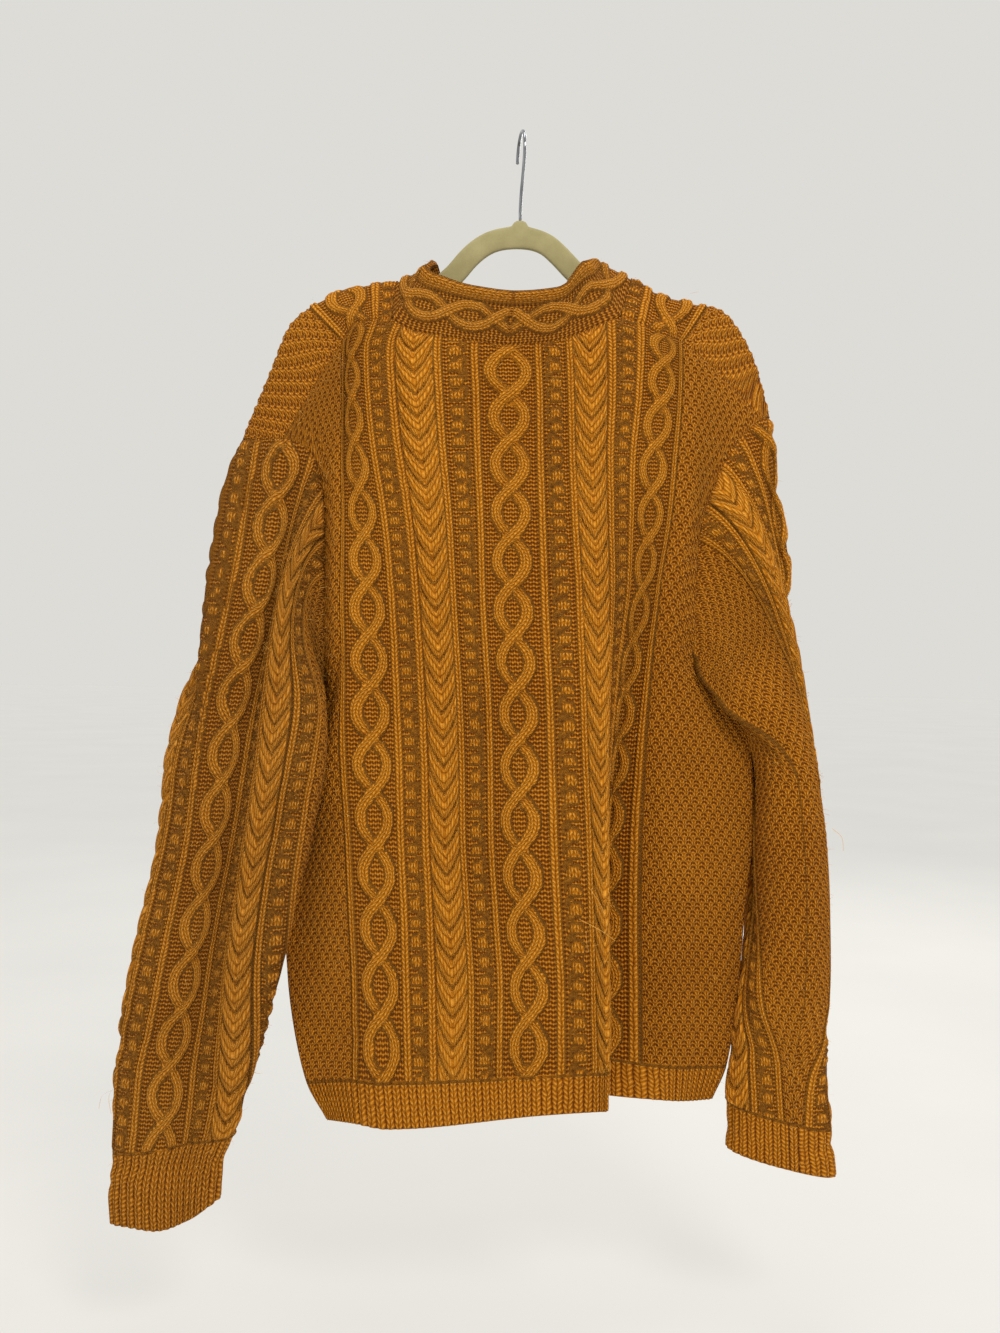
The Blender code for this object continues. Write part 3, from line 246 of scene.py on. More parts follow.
# From the seam to a band's free edge
BAND_ON_BACK = columns(
    "across dx dy dz",
    [(-98, 30, 7, 50), (-66, 12, 4, 54), (-34, 5, 2, 50), (0, 5, 1, 49), (38, 6, 2, 50), (70, -10, 6, 58),
     (98, -34, 8, 54)],
)
BAND_ON_FRONT = columns(
    "level dx dy dz",
    [(-897, 43, 2, 0), (-430, 43, 2, -3), (-380, 40, 1, -16), (-300, 38, 1, -24), (-240, 38, 2, -20),
     (-190, 36, 9, 10), (-140, 36, 4, 15), (-100, 32, 7.5, 52)],
)
BAND_COLUMNS = 30
BAND_REPEAT = 44.0
BAND_FIRST_OVAL = 36.0  # from the centre of the neck along the band
BAND_SWING = 9.8
BAND_STRAND_HALF = 4.6
ROPE = 3.6  # the twisted free edge of a band
ROPE_TWIST = 10.0

ARM_TOP = columns(
    "x z",
    [(-206, -211), (-200, -205), (-183, -187), (-154, -169), (-120, -157), (-90, -142), (-67, -124),
     (-57, -111.5), (-43, -98.5), (-31, -91.5), (-17, -87.6), (-2, -86.4), (12, -87.4), (28.5, -92.8),
     (43, -104.5), (59, -121), (85, -141), (112, -156), (139, -167), (160, -177), (180, -189), (188, -195)],
)
ARM_DEPTH = 20.0
ARM_THICK = 6.0
WIRE = 3.0
HOOK_RADIUS = 19.0
HOOK_TURN = 0.15
STEM_BOTTOM = -83.7
STEM_STRAIGHT = 12.0

# How far a sleeve's outline moves, worked out by laying the render over the photograph: the height, half the
# reach, the move along x, and the x and then the y where the move starts and where it is full
EVERY_Y = (900.0, 800.0)
SLEEVE_MOVES = {
    "left": [
        (-505.0, 90.0, -14.0, (-215.0, -285.0), EVERY_Y),
        (-527.0, 46.0, 13.0, (-215.0, -190.0), (20.0, -10.0)),
    ],
    "right": [
        (-305.0, 58.0, -21.0, (225.0, 275.0), EVERY_Y),
        (-640.0, 130.0, -7.0, (264.0, 240.0), EVERY_Y),
        (-535.0, 46.0, -27.0, (252.0, 222.0), (34.0, 4.0)),
        (-500.0, 15.0, -9.0, (252.0, 222.0), (34.0, 4.0)),
    ],
}
CUFF_DROP = {"left": (-300.0, 36.0, 18.0, (-930.0, -985.0))}  # x, half the reach, the drop, and z as above
SHOULDER_MOVES = [(133.0, 22.0, -6.0), (186.0, 15.0, 4.0), (-106.0, 24.0, -4.0)]  # x, half, the lift
SHOULDER_FROM = -215.0

FIBRES = {"back": 5200, "front_left": 2000, "front_right": 2000, "band_left": 900, "band_right": 900,
          "sleeve_left": 3300, "sleeve_right": 3300}
# Long stray hairs, each from point to point
STRAYS = [
    [(70, -62, -690), (80, -72, -705), (84, -71, -722), (78, -64, -735)],
    [(88, -60, -700), (74, -74, -712), (66, -71, -728), (69, -63, -745)],
    [(60, -62, -716), (76, -74, -722), (92, -66, -734)],
    [(96, -56, -735), (84, -71, -745), (80, -62, -760)],
    [(-354, -24, -868), (-366, -26, -882), (-378, -24, -893)],
    [(-355, -24, -884), (-368, -27, -890), (-372, -24, -903)],
    [(-352, -26, -873), (-363, -24, -893), (-360, -26, -907)],
    [(296, -10, -640), (304, -14, -648), (306, -12, -660)],
    [(152, -8, -160), (157, -9, -149), (166, -8, -146)],
]
STRAY_POINTS = 14
STRAY_HALF = 0.12

# The studio, in metres
FLOOR_Z = -1.13
FLOOR_HALF = 30.0
PALE = (0.86, 0.85, 0.81, 1.0)
AIM = (0.0, 0.0, -0.5)
SENSOR = 36.0
SEEN_WIDTH = 0.93  # what the photo's width shows at the hanger
CAMERA_AT = (-0.0126, -1.15, -0.495)
CAMERA_ROLL = -0.85  # degrees

# Soft troughs (negative) and ridges: across, level or minus the distance down a sleeve, the way it runs in
# degrees from level, half its length, half its width and its height
CREASES = {
    "back": [
        (-205, -535, 58, 80, 15, -4.0), (-178, -575, 64, 60, 13, 2.6), (-226, -640, 78, 90, 16, -3.2),
        (-60, -610, 84, 150, 26, 2.2), (-22, -760, 95, 120, 22, -2.0), (34, -520, 96, 130, 24, 1.8),
        (-110, -790, 99, 110, 22, 2.4), (205, -620, 104, 120, 18, -3.4), (232, -700, 97, 110, 16, 2.6),
        (214, -800, 92, 70, 15, -2.8), (-150, -330, 100, 70, 15, -2.2), (178, -360, 76, 80, 14, -2.4),
        (-215, -838, 12, 60, 9, -2.4), (120, -842, 4, 80, 9, -2.0), (-60, -846, 178, 90, 8, -1.6),
    ],
    "front_left": [
        (205, -500, 62, 70, 14, -3.6), (190, -600, 80, 110, 20, 3.0), (120, -690, 94, 150, 24, -3.2),
        (232, -730, 88, 110, 18, -3.4), (90, -520, 86, 120, 22, 2.4), (150, -838, 6, 70, 9, -2.2),
        (170, -300, 52, 60, 14, -3.0), (130, -390, 78, 90, 18, 2.0),
    ],
    "front_right": [
        (210, -490, 60, 80, 14, -3.6), (180, -630, 84, 120, 22, 3.2), (112, -720, 96, 130, 22, -2.8),
        (228, -690, 92, 120, 17, -3.0), (80, -560, 82, 110, 20, 2.2), (140, -840, 176, 80, 9, -2.2),
        (165, -290, 54, 60, 14, -2.8), (120, -400, 74, 80, 18, 1.8),
    ],
    "sleeve_left": [
        (26, 40, 90, 230, 11, -5.0), (50, 60, 92, 190, 13, 3.0), (-14, -150, 93, 150, 12, -3.0),
        (-70, 60, 70, 80, 15, -4.0), (-30, -20, 104, 90, 18, 2.6), (80, -60, 62, 70, 14, -3.6),
        (-95, -110, 80, 80, 15, -3.4), (20, -190, 98, 80, 16, -2.6), (100, -170, 72, 90, 16, 3.0),
        (-60, -250, 24, 60, 11, -3.2), (60, -285, 160, 60, 11, -3.0), (-130, -40, 60, 70, 15, 3.0),
        (0, -352, 4, 70, 7, -3.6), (-80, -372, 174, 60, 6, -2.6), (130, 70, 118, 70, 14, -3.2),
    ],
    "sleeve_right": [
        (-42, 0, 91, 170, 12, -3.6), (34, -60, 88, 150, 12, 2.6),
        (-60, 80, 74, 90, 15, -3.6), (50, 20, 100, 90, 18, 2.8), (90, -80, 70, 80, 15, -3.4),
        (-90, -90, 78, 90, 16, -3.2), (10, -150, 88, 90, 18, 2.2), (-110, -200, 68, 70, 14, 3.0),
        (70, -240, 22, 60, 11, -3.2), (-50, -262, 164, 60, 10, -3.0), (120, 40, 116, 80, 15, -3.0),
        (0, -322, 6, 60, 7, -3.4), (80, -338, 172, 50, 6, -2.4), (-20, -296, 2, 60, 8, 2.0),
    ],
}


def curve_between(t, start, leave, end, arrive):
    """A cubic curve from one value to another, with the slope that it has at each."""
    return (
        (2 * t**3 - 3 * t**2 + 1) * start
        + (t**3 - 2 * t**2 + t) * leave
        + (3 * t**2 - 2 * t**3) * end
        + (t**3 - t**2) * arrive
    )


def monotone(keys, values, at):
    """A smooth curve through a table's rows, with no overshoot. values may hold a column for each place."""
    keys = np.asarray(keys, float)
    values = np.asarray(values, float)
    shape = np.shape(at)
    at = np.ravel(np.asarray(at, float))
    if keys[0] > keys[-1]:
        keys, values = keys[::-1], values[::-1]
    if values.ndim == 1:
        values = values[:, None]
    at = np.clip(at, keys[0], keys[-1])
    step = np.diff(keys)[:, None]
    rise = np.diff(values, axis=0) / step
    slope = np.zeros_like(values)
    slope[0], slope[-1] = rise[0], rise[-1]
    if len(keys) > 2:
        before, after = 2 * step[1:] + step[:-1], step[1:] + 2 * step[:-1]
        same_way = rise[:-1] * rise[1:] > 0
        low = np.where(same_way, rise[:-1], 1.0)
        high = np.where(same_way, rise[1:], 1.0)
        slope[1:-1] = np.where(same_way, (before + after) / (before / low + after / high), 0.0)
    i = np.clip(np.searchsorted(keys, at) - 1, 0, len(keys) - 2)
    j = np.zeros(len(at), int) if values.shape[1] == 1 else np.arange(len(at))
    t = (at - keys[i]) / step[i, 0]
    found = curve_between(
        t, values[i, j], step[i, 0] * slope[i, j], values[i + 1, j], step[i, 0] * slope[i + 1, j]
    )
    return found.reshape(shape)


def read(table, names, at):
    """The named columns of a table, at some values of its first column."""
    keys = table[next(iter(table))]
    return [monotone(keys, table[name], at) for name in names.split()]


def unit(v):
    return v / np.maximum(np.linalg.norm(v, axis=-1, keepdims=True), 1e-9)


def ease(t):
    t = np.clip(t, 0.0, 1.0)
    return t * t * (3 - 2 * t)


def bell(distance, width, power=2):
    """1 in the middle and less to both sides."""
    return np.exp(-(np.abs(distance / width) ** power))


def arch(d):
    """Half a circle from -1 to 1, and 0 beyond."""
    return np.sqrt(np.maximum(0.0, 1 - d**2))


def squared_circle(turns, power):
    """The cosines and sines of a circle that is pressed towards a square."""
    return [np.sign(f(turns)) * np.abs(f(turns)) ** power for f in (np.cos, np.sin)]


def lengths_along(line):
    return np.concatenate([[0.0], np.cumsum(np.linalg.norm(np.diff(line, axis=0), axis=-1))])


def lengths_down(grid):
    """How far each place of a grid is from the first row, along the cloth."""
    gaps = np.linalg.norm(np.diff(grid, axis=0), axis=-1)
    return np.concatenate([np.zeros((1, grid.shape[1])), np.cumsum(gaps, axis=0)])


def level_of(repeat):
    return FIRST_OVAL_Z - FIRST_REPEAT * repeat - REPEAT_GROWTH * repeat * repeat


def repeat_of(level):
    down = FIRST_OVAL_Z - level
    return (-FIRST_REPEAT + np.sqrt(FIRST_REPEAT**2 + 4 * REPEAT_GROWTH * down)) / (2 * REPEAT_GROWTH)


def armpit_level(side):
    """The row of the solid that is nearest the armpit: its rows are a third of a repeat apart."""
    thirds = [level_of(k / 3.0) for k in range(60)]
    return min(thirds, key=lambda level: abs(level - ARMPIT_NEAR[side]))


ARMPIT = {side: armpit_level(side) for side in SIGN}


def opening_swell(across, level, armpit):
    """How far the cloth is held open beside the arm, just above the armpit."""
    above = level - armpit
    upwards = ease(above / SWELL_RISE) * (1 - ease((above - SWELL_RISE) / SWELL_END))
    return UNDERARM_OPEN * upwards * ease((np.abs(across) - SWELL_FROM) / (SIDE_AT - SWELL_FROM))


def back_point(across, level):
    across, level = np.broadcast_arrays(np.asarray(across, float), np.asarray(level, float))
    shape = across.shape
    across, level = across.ravel(), level.ravel()
    keys = [place for place, _ in BACK_PLACES]
    found = []
    for axis in "xyz":
        values = [level if axis + name == "zm" else read(BACK, name + axis, level)[0]
                  for _, name in BACK_PLACES]
        found.append(monotone(keys, np.array(values), across))
    armpit = np.where(across < 0, ARMPIT_NEAR["left"], ARMPIT_NEAR["right"])
    found[1] = found[1] - opening_swell(across, level, armpit)
    return np.stack(found, axis=-1).reshape(*shape, 3)


def front_lower(side, across, level):
    """A front below the arm's opening, from the side seam round to the band."""
    s = SIGN[side]
    edge = back_point(np.full_like(level, s * SIDE_AT), level)
    seam_x = read(FRONT_CENTRE, "x", level)[0] + s * FRONT_SEAM_X
    share = (SIDE_AT - across) / (SIDE_AT - BAND_SEAM_AT)
    x = edge[..., 0] + (seam_x - edge[..., 0]) * np.where(share < 1, share * (0.55 + 0.45 * share), share)
    turn = arch(1 - np.minimum(share * 2.6, 1.0))
    y = edge[..., 1] + (read(FRONT_DEPTH, "y", level)[0] - edge[..., 1]) * turn
    for at, depth, width, drift in FRONT_FOLDS:
        middle = at + drift * np.sin(level / 130.0)
        y = y + depth * ease((level - TOP_LEVEL) / -350.0) * bell(across - middle, width)
    z = edge[..., 2] + (level - edge[..., 2]) * ease(share * 1.5)
    return np.stack([x, y, z], axis=-1)


def front_point(side, across, level):
    """A place on a front, up to the top of the shoulder and over it to the seam on the back."""
    across, level = np.broadcast_arrays(np.asarray(across, float), np.asarray(level, float))
    shape = across.shape
    across, level = across.ravel(), level.ravel()
    armpit = ARMPIT[side]
    keys = [armpit]
    lines = [front_lower(side, across, np.full_like(level, armpit))]
    for key, places in FRONT_UPPER[side]:
        keys.append(key)
        lines.append(np.stack(read(columns("across x y z", places), "x y z", across), axis=-1))
    keys.append(SEAM_LEVEL)
    lines.append(back_point(SIGN[side] * np.maximum(across, NECK_AT), np.full_like(level, TOP_LEVEL)))
    lines = np.array(lines)
    upper = np.stack([monotone(keys, lines[:, :, i], level) for i in range(3)], axis=-1)
    upper[:, 1] += opening_swell(across, level, ARMPIT_NEAR[side])
    low = front_lower(side, across, np.minimum(level, armpit))
    return np.where((level <= armpit)[:, None], low, upper).reshape(*shape, 3)


def top_level(across):
    """The level where the back ends: the neck line, or the shoulder seam beyond it."""
    return np.where(np.abs(across) >= NECK_AT, TOP_LEVEL, read(NECK_LINE, "level", across)[0])


def v_edge(level):
    share = (level - V_START) / (V_END - V_START)
    return BAND_SEAM_AT + (NECK_AT - BAND_SEAM_AT) * np.clip(share, 0.0, 1.0)


def armhole(side):
    """The ring where a sleeve is sewn on, with keys from -1 at the armpit over the shoulder at 0 to 1.

    With its places come the ways out of the cloth and into the sleeve.
    """
    s = SIGN[side]
    third = round(float(repeat_of(ARMPIT[side])) * 3)
    regular = [level_of(k / 3.0) for k in range(third, -2, -1) if level_of(k / 3.0) <= REGULAR_TOP]
    top = [regular[-1] + (TOP_LEVEL - regular[-1]) * k / 3.0 for k in (1, 2, 3)]
    behind = back_point(s * SIDE_AT, np.array(regular + top))
    rise = np.linspace(ARMPIT[side], SHOULDER_LEVEL, FRONT_RISE_ROWS + 1)
    over = np.linspace(SHOULDER_LEVEL, SEAM_LEVEL, FRONT_OVER_ROWS + 1)[1:]
    before = front_point(side, SIDE_AT, np.concatenate([rise, over]))[:-1]
    loop = np.concatenate([before, behind[::-1]])
    centre = loop.mean(axis=0)
    into = unit(np.array([s * ARM_WAY[0], 0.0, ARM_WAY[1]]))
    ahead = unit(np.roll(loop[:-1], -1, axis=0) - loop[:-1])
    tangent = unit(ahead + np.roll(ahead, 1, axis=0))
    out = unit(np.cross(tangent, into))
    inward = np.cross(tangent, out)
    if np.sum(out * (loop[:-1] - centre)) < 0:
        out = -out
    inward = inward * np.where(inward @ into > 0, 1.0, -1.0)[:, None]
    out, inward = (np.concatenate([a, a[:1]]) for a in (out, inward))
    lengths = lengths_along(loop)
    rising = lengths[len(before)]
    keys = np.where(lengths < rising, lengths / rising - 1, (lengths - rising) / (lengths[-1] - rising))
    return keys, loop, out, inward


RINGS = {side: armhole(side) for side in SIGN}


def oval_line(side, z):
    """A sleeve's outline at a height: places, and how far along it each is."""
    out, inside, near, far, zout, zin, skew = read(SLEEVES[side], "out in near far zout zin skew", z)
    across, deep = squared_circle(np.linspace(0.0, 2 * math.pi, OVAL_POINTS), 2.0 / OVAL_POWER)
    x = (out + inside) / 2 + (out - inside) / 2 * across
    y = (near + far) / 2 + (near - far) / 2 * deep
    y = y + skew * (2 * (x - inside) / (out - inside) - 1)
    up = zin + (zout - zin) * (x - inside) / (out - inside)
    return x, y, up, lengths_along(np.stack([x, y], axis=-1))


def sleeve_low(side, z, across):
    centre, plait, half = read(SLEEVES[side], "centre plait half", z)
    share = monotone([-half, 0.0, PLAIT_AT, half], [centre - 0.5, centre, plait, centre + 0.5], across)
    x, y, up, lengths = oval_line(side, z)
    at = (share % 1.0) * lengths[-1]
    place = np.stack([np.interp(at, lengths, values) for values in (x, y, up)], axis=-1)
    place[:, 1] += SLEEVE_VALLEY[side] * bell(across - VALLEY_AT, VALLEY_WIDTH)
    return place


def sleeve_z(side, step):
    return SLEEVE_JOIN_Z + (SLEEVES[side]["z"][-1] - SLEEVE_JOIN_Z) * (step - 1.0)


def sleeve_half(side, step):
    return float(read(SLEEVES[side], "half", sleeve_z(side, max(step, 1.0)))[0])


def sleeve_row(side, across, step):
    """A row of a sleeve: step 0 is the arm's opening, 1 the end of the upper sleeve, and 2 the cuff's end."""
    if step >= 1.0:
        return sleeve_low(side, sleeve_z(side, step), across)
    low = sleeve_low(side, SLEEVE_JOIN_Z, across)
    below = sleeve_low(side, SLEEVE_JOIN_Z - JOIN_LENGTH, across)
    share = across / sleeve_half(side, 1.0)
    keys, *ring = RINGS[side]
    place, way, into = (np.stack([np.interp(share, keys, a[:, i]) for i in range(3)], axis=-1) for a in ring)
    start, bulge = SLEEVE_START[side]
    reach = np.linalg.norm(low - place, axis=-1, keepdims=True)
    turn = np.minimum(np.abs(share), 1.0)[:, None]
    swell = bulge * np.sin(math.pi * turn) ** 2
    sag = np.array([0.0, 0.0, SLEEVE_SAG]) * (1 - turn)
    leave = unit(into * (start + (1 - start) * turn) + way * swell - sag) * reach * LEAVE
    arrive = unit(below - low) * reach * ARRIVE
    return curve_between(step, place - unit(into) * SLEEVE_TUCK, leave, low, arrive)


class Relief:
    """The knitting's relief over a grid: height, stitch coordinates, and what kind of stitch it is."""

    def __init__(self, across, down, rows, repeat=None):
        self.across, self.down = across, down
        self.repeat = repeat
        self.height = np.zeros_like(across)
        self.rows = rows * np.ones_like(across)
        self.u = self.true_u = across / STITCH
        self.v = self.true_v = self.rows
        self.knit = np.zeros_like(across)
        self.moss = np.zeros_like(across)

    def lay(self, height, u, v):
        """Lays knit stitches over what is lower than they are."""
        over = height > self.height + LEAST_STEP
        self.height = np.where(over, height, self.height)
        self.u = np.where(over, u, self.u)
        self.v = np.where(over, v, self.v)
        self.knit = np.where(over, 1.0, self.knit)
        self.moss = np.where(over, 0.0, self.moss)

    def rib(self, offset, height=RIB, half=RIB_HALF):
        """One knit stitch: two rounded legs with a groove between them."""
        d = (self.across - offset) / half
        self.lay(height * arch(d) ** 0.8 - RIB_GROOVE * bell(d, 0.26), d / 2, self.rows)

    def chain(self, centre, repeat, length, swing=STRAND_SWING, half=STRAND_HALF, height=STRAND):
        """Two strands of two knit stitches that cross at every half repeat and enclose ovals of purl."""
        wave = np.cos(math.pi * repeat)
        path = swing * ((1 + FULLER) * wave - FULLER * wave**3)
        slope = swing * (1 + FULLER - 3 * FULLER * wave**2) * -math.pi * np.sin(math.pi * repeat) / length
        inside = np.abs(self.across - centre) < np.abs(path) - half * 0.6
        dome = np.clip(1 - ((self.across - centre) / (np.abs(path) - half * 0.5 + 1e-3)) ** 2, 0.0, 1.0)
        self.height = np.where(inside, np.maximum(self.height, DOME * dome), self.height)
        for sign in (1.0, -1.0):
            tilt = sign * slope
            d = (self.across - centre - sign * path) / np.sqrt(1 + tilt**2) / half
            profile = arch(d) ** 0.75
            over = np.where(tilt < 0, OVER, UNDER) * bell(wave, 0.5)
            strand = (height + over) * profile - STRAND_GROOVE * bell(d, 0.17)
            self.lay(np.where(profile > 0.02, strand, 0.0), d + 0.5, repeat * STITCHES_ALONG)

    def plait(self, centre):
        """Leaves that meet along the middle in chevrons pointing down, with grooves between them."""
        side = np.abs(self.across - centre)
        pitch = np.abs(np.gradient(self.down, axis=0))
        pitch = pitch / np.maximum(np.abs(np.gradient(self.repeat, axis=0)), 1e-4)
        pitch = np.clip(pitch, *REPEAT_RANGE) / PLAITS_PER_REPEAT
        out = side / PLAIT_HALF
        part = (self.repeat * PLAITS_PER_REPEAT + PLAIT_HALF * (1.05 * out + 0.75 * out**3) / pitch) % 1.0
        leaf = arch((part - 0.48) / 0.52) ** 0.9
        edge = ease((PLAIT_HALF - side) / 3.0)
        height = PLAIT * (0.06 + 0.94 * leaf) * edge * (1 - 0.4 * bell(side, 1.3))
        self.lay(height, part * 1.5, (side * 1.6 + 0.25 * self.down) / 3.6)
        self.height = self.height - PLAIT_GROOVE * bell(np.minimum(part, 1 - part), 0.09) * edge

    def block(self, centre, s):
        """Small knots between two ribs, each with a short bar over it and a stroke beside it."""
        d = (self.across - centre) * s
        part = (self.repeat * BLOCKS_PER_REPEAT) % 1.0
        knob = bell(d - 1.0, 5.4, 4) * bell(part - 0.6, 0.34, 4)
        turn = 0.16 * np.sin(d * 1.4 + part * 8.0)
        bar = bell(d + 3.8, 3.0, 4) * bell(part - 0.1, 0.085)
        stroke = bell(d + 5.6, 1.2) * bell(part - 0.42, 0.26, 3)
        self.height = np.maximum(self.height, 0.9 * ease((9.0 - np.abs(d)) / 2.0))
        self.lay(BLOCK * 0.75 * stroke, d / 2.6, self.rows)
        self.lay(BLOCK * knob * (0.85 + turn), (d - 1.0) / 5.4 + 0.5, part * 3.2)
        self.lay(BLOCK * 0.95 * bar, (part - 0.1) / 0.34, d / 3.4)

    def panels(self, ribs):
        """The plaits, knots and ribs, the same to the left and to the right."""
        for s in (-1.0, 1.0):
            self.plait(s * PLAIT_AT)
            for offset in BLOCKS_AT:
                self.block(s * offset, s)
            for offset in ribs:
                self.rib(s * offset)

    def moss_where(self, share):
        """Double moss stitch: seeds one stitch wide and two rows tall, like a chequerboard."""
        wave = np.cos(math.pi * self.true_u) * np.cos(math.pi * self.true_v / 2)
        seeds = MOSS * 0.5 * (1 + np.tanh(2.4 * wave))
        self.u = np.where(share > 0, self.true_u, self.u)
        self.v = np.where(share > 0, self.true_v, self.v)
        self.height = np.where(share > 0, np.maximum(self.height, seeds * share), self.height)
        self.moss = np.maximum(self.moss, share)

    def ribbing(self, phase, share):
        """One knit and one purl stitch in turn. phase counts ribs."""
        ridge = np.abs(np.cos(math.pi * phase)) ** 0.7 - 0.22 * bell(phase - np.round(phase), 0.07)
        height = HEM_RIB_DEPTH * ridge - HEM_RIB_SUNK
        self.height = self.height * (1 - share) + height * share
        self.u = np.where(share > 0.5, phase, self.u)
        self.v = np.where(share > 0.5, self.rows, self.v)
        self.knit = np.where(share > 0.5, 1.0, self.knit)
        self.moss = self.moss * (share <= 0.5)


def true_stitches(base, across, panel_end):
    """Counts the stitches by the cloth's own width beyond the patterned panel, where it lies in folds."""
    gaps = np.linalg.norm(np.diff(base, axis=1), axis=-1)
    outside = np.abs(across[:, 1:] + across[:, :-1]) / 2 > panel_end
    total = np.cumsum(np.where(outside, gaps, np.diff(across, axis=1)), axis=1)
    total = np.concatenate([np.zeros((len(across), 1)), total], axis=1)
    middle = int(np.argmin(np.abs(across[0])))
    return (total - total[:, [middle]] + across[:, [middle]]) / STITCH


def body_relief(base, across, level, repeat, down):
    """The pattern of the back and the fronts, with the ribbed hem."""
    made = Relief(across, down, repeat * ROWS_PER_REPEAT, repeat)
    made.true_u = true_stitches(base, across, PANEL_END)
    made.true_v = -lengths_down(base) / ROW
    length = FIRST_REPEAT + 2 * REPEAT_GROWTH * np.clip(repeat, 0.0, 15.0)
    made.moss_where(ease((np.abs(across) - PANEL_END) / PANEL_EDGE))
    made.chain(0.0, repeat, length, STRAND_SWING * (1 + FIRST_OVAL_WIDER * bell(repeat, 0.75)))
    for s in (-1.0, 1.0):
        made.chain(s * CHAIN_AT, repeat, length)
    made.panels(RIBS_AT)
    made.ribbing(across / HEM_RIB, ease((HEM_LEVEL - level) / HEM_EDGE + 0.5))
    return made


def sleeve_relief(base, across, repeat, down):
    """The pattern of a sleeve above its cuff."""
    made = Relief(across, down, down / ROW, repeat)
    made.true_u = true_stitches(base, across, SLEEVE_PANEL)
    made.moss_where(ease((np.abs(across) - SLEEVE_PANEL) / PANEL_EDGE))
    made.chain(0.0, repeat, SLEEVE_REPEAT)
    made.panels(RIBS_AT[:4])
    return made


def crease_heights(name, across, level):
    """The soft troughs and ridges that are listed."""
    total = np.zeros_like(across)
    for at, height_at, angle, half_length, half_width, height in CREASES[name]:
        turn = math.radians(angle)
        dx, dz = across - at, level - height_at
        along = dx * math.cos(turn) + dz * math.sin(turn)
        square = -dx * math.sin(turn) + dz * math.cos(turn) + 0.06 * along * along / half_length
        total += height * bell(along, half_length) * bell(square, half_width)
    return total


def grid_ways(grid, hand, ring=False):
    """The way out of the cloth at each place of a grid."""
    if ring:
        a = np.roll(grid, -1, axis=1) - np.roll(grid, 1, axis=1)
    else:
        a = np.gradient(grid, axis=1)
    b = np.gradient(grid, axis=0)
    return unit(np.cross(a, b) * hand)


def smoothed(field, times, ring=False):
    """A field with its small bumps taken out, along both directions of its grid."""
    for _ in range(times):
        if ring:
            field = (np.roll(field, 1, axis=1) + 2 * field + np.roll(field, -1, axis=1)) / 4
        elif field.shape[1] > 1:
            before, after = 2 * field[:, :1] - field[:, 1:2], 2 * field[:, -1:] - field[:, -2:-1]
            wide = np.concatenate([before, field, after], axis=1)
            field = (wide[:, :-2] + 2 * wide[:, 1:-1] + wide[:, 2:]) / 4
        before, after = 2 * field[:1] - field[1:2], 2 * field[-1:] - field[-2:-1]
        tall = np.concatenate([before, field, after], axis=0)
        field = (tall[:-2] + 2 * tall[1:-1] + tall[2:]) / 4
    return field


def kept(count):
    """The rows or columns of the outer face that the plain inner face has too."""
    return sorted({*range(0, count, INNER_STEP), count - 1})


def closed_mesh(name, points, faces, material):
    """A smooth closed mesh with its faces turned outwards, from points in millimetres."""
    mesh = bpy.data.meshes.new(name)
    mesh.from_pydata(points * MM, [], faces)
    shape = bmesh.new()
    shape.from_mesh(mesh)
    bmesh.ops.recalc_face_normals(shape, faces=shape.faces)
    if shape.calc_volume(signed=True) < 0:
        bmesh.ops.reverse_faces(shape, faces=shape.faces)
    shape.to_mesh(mesh)
    shape.free()
    mesh.polygons.foreach_set("use_smooth", np.ones(len(mesh.polygons), bool))
    mesh.materials.append(material)
    return mesh


def placed(name, data):
    thing = bpy.data.objects.new(name, data)
    bpy.context.scene.collection.objects.link(thing)
    return thing


CLOTHS = {}


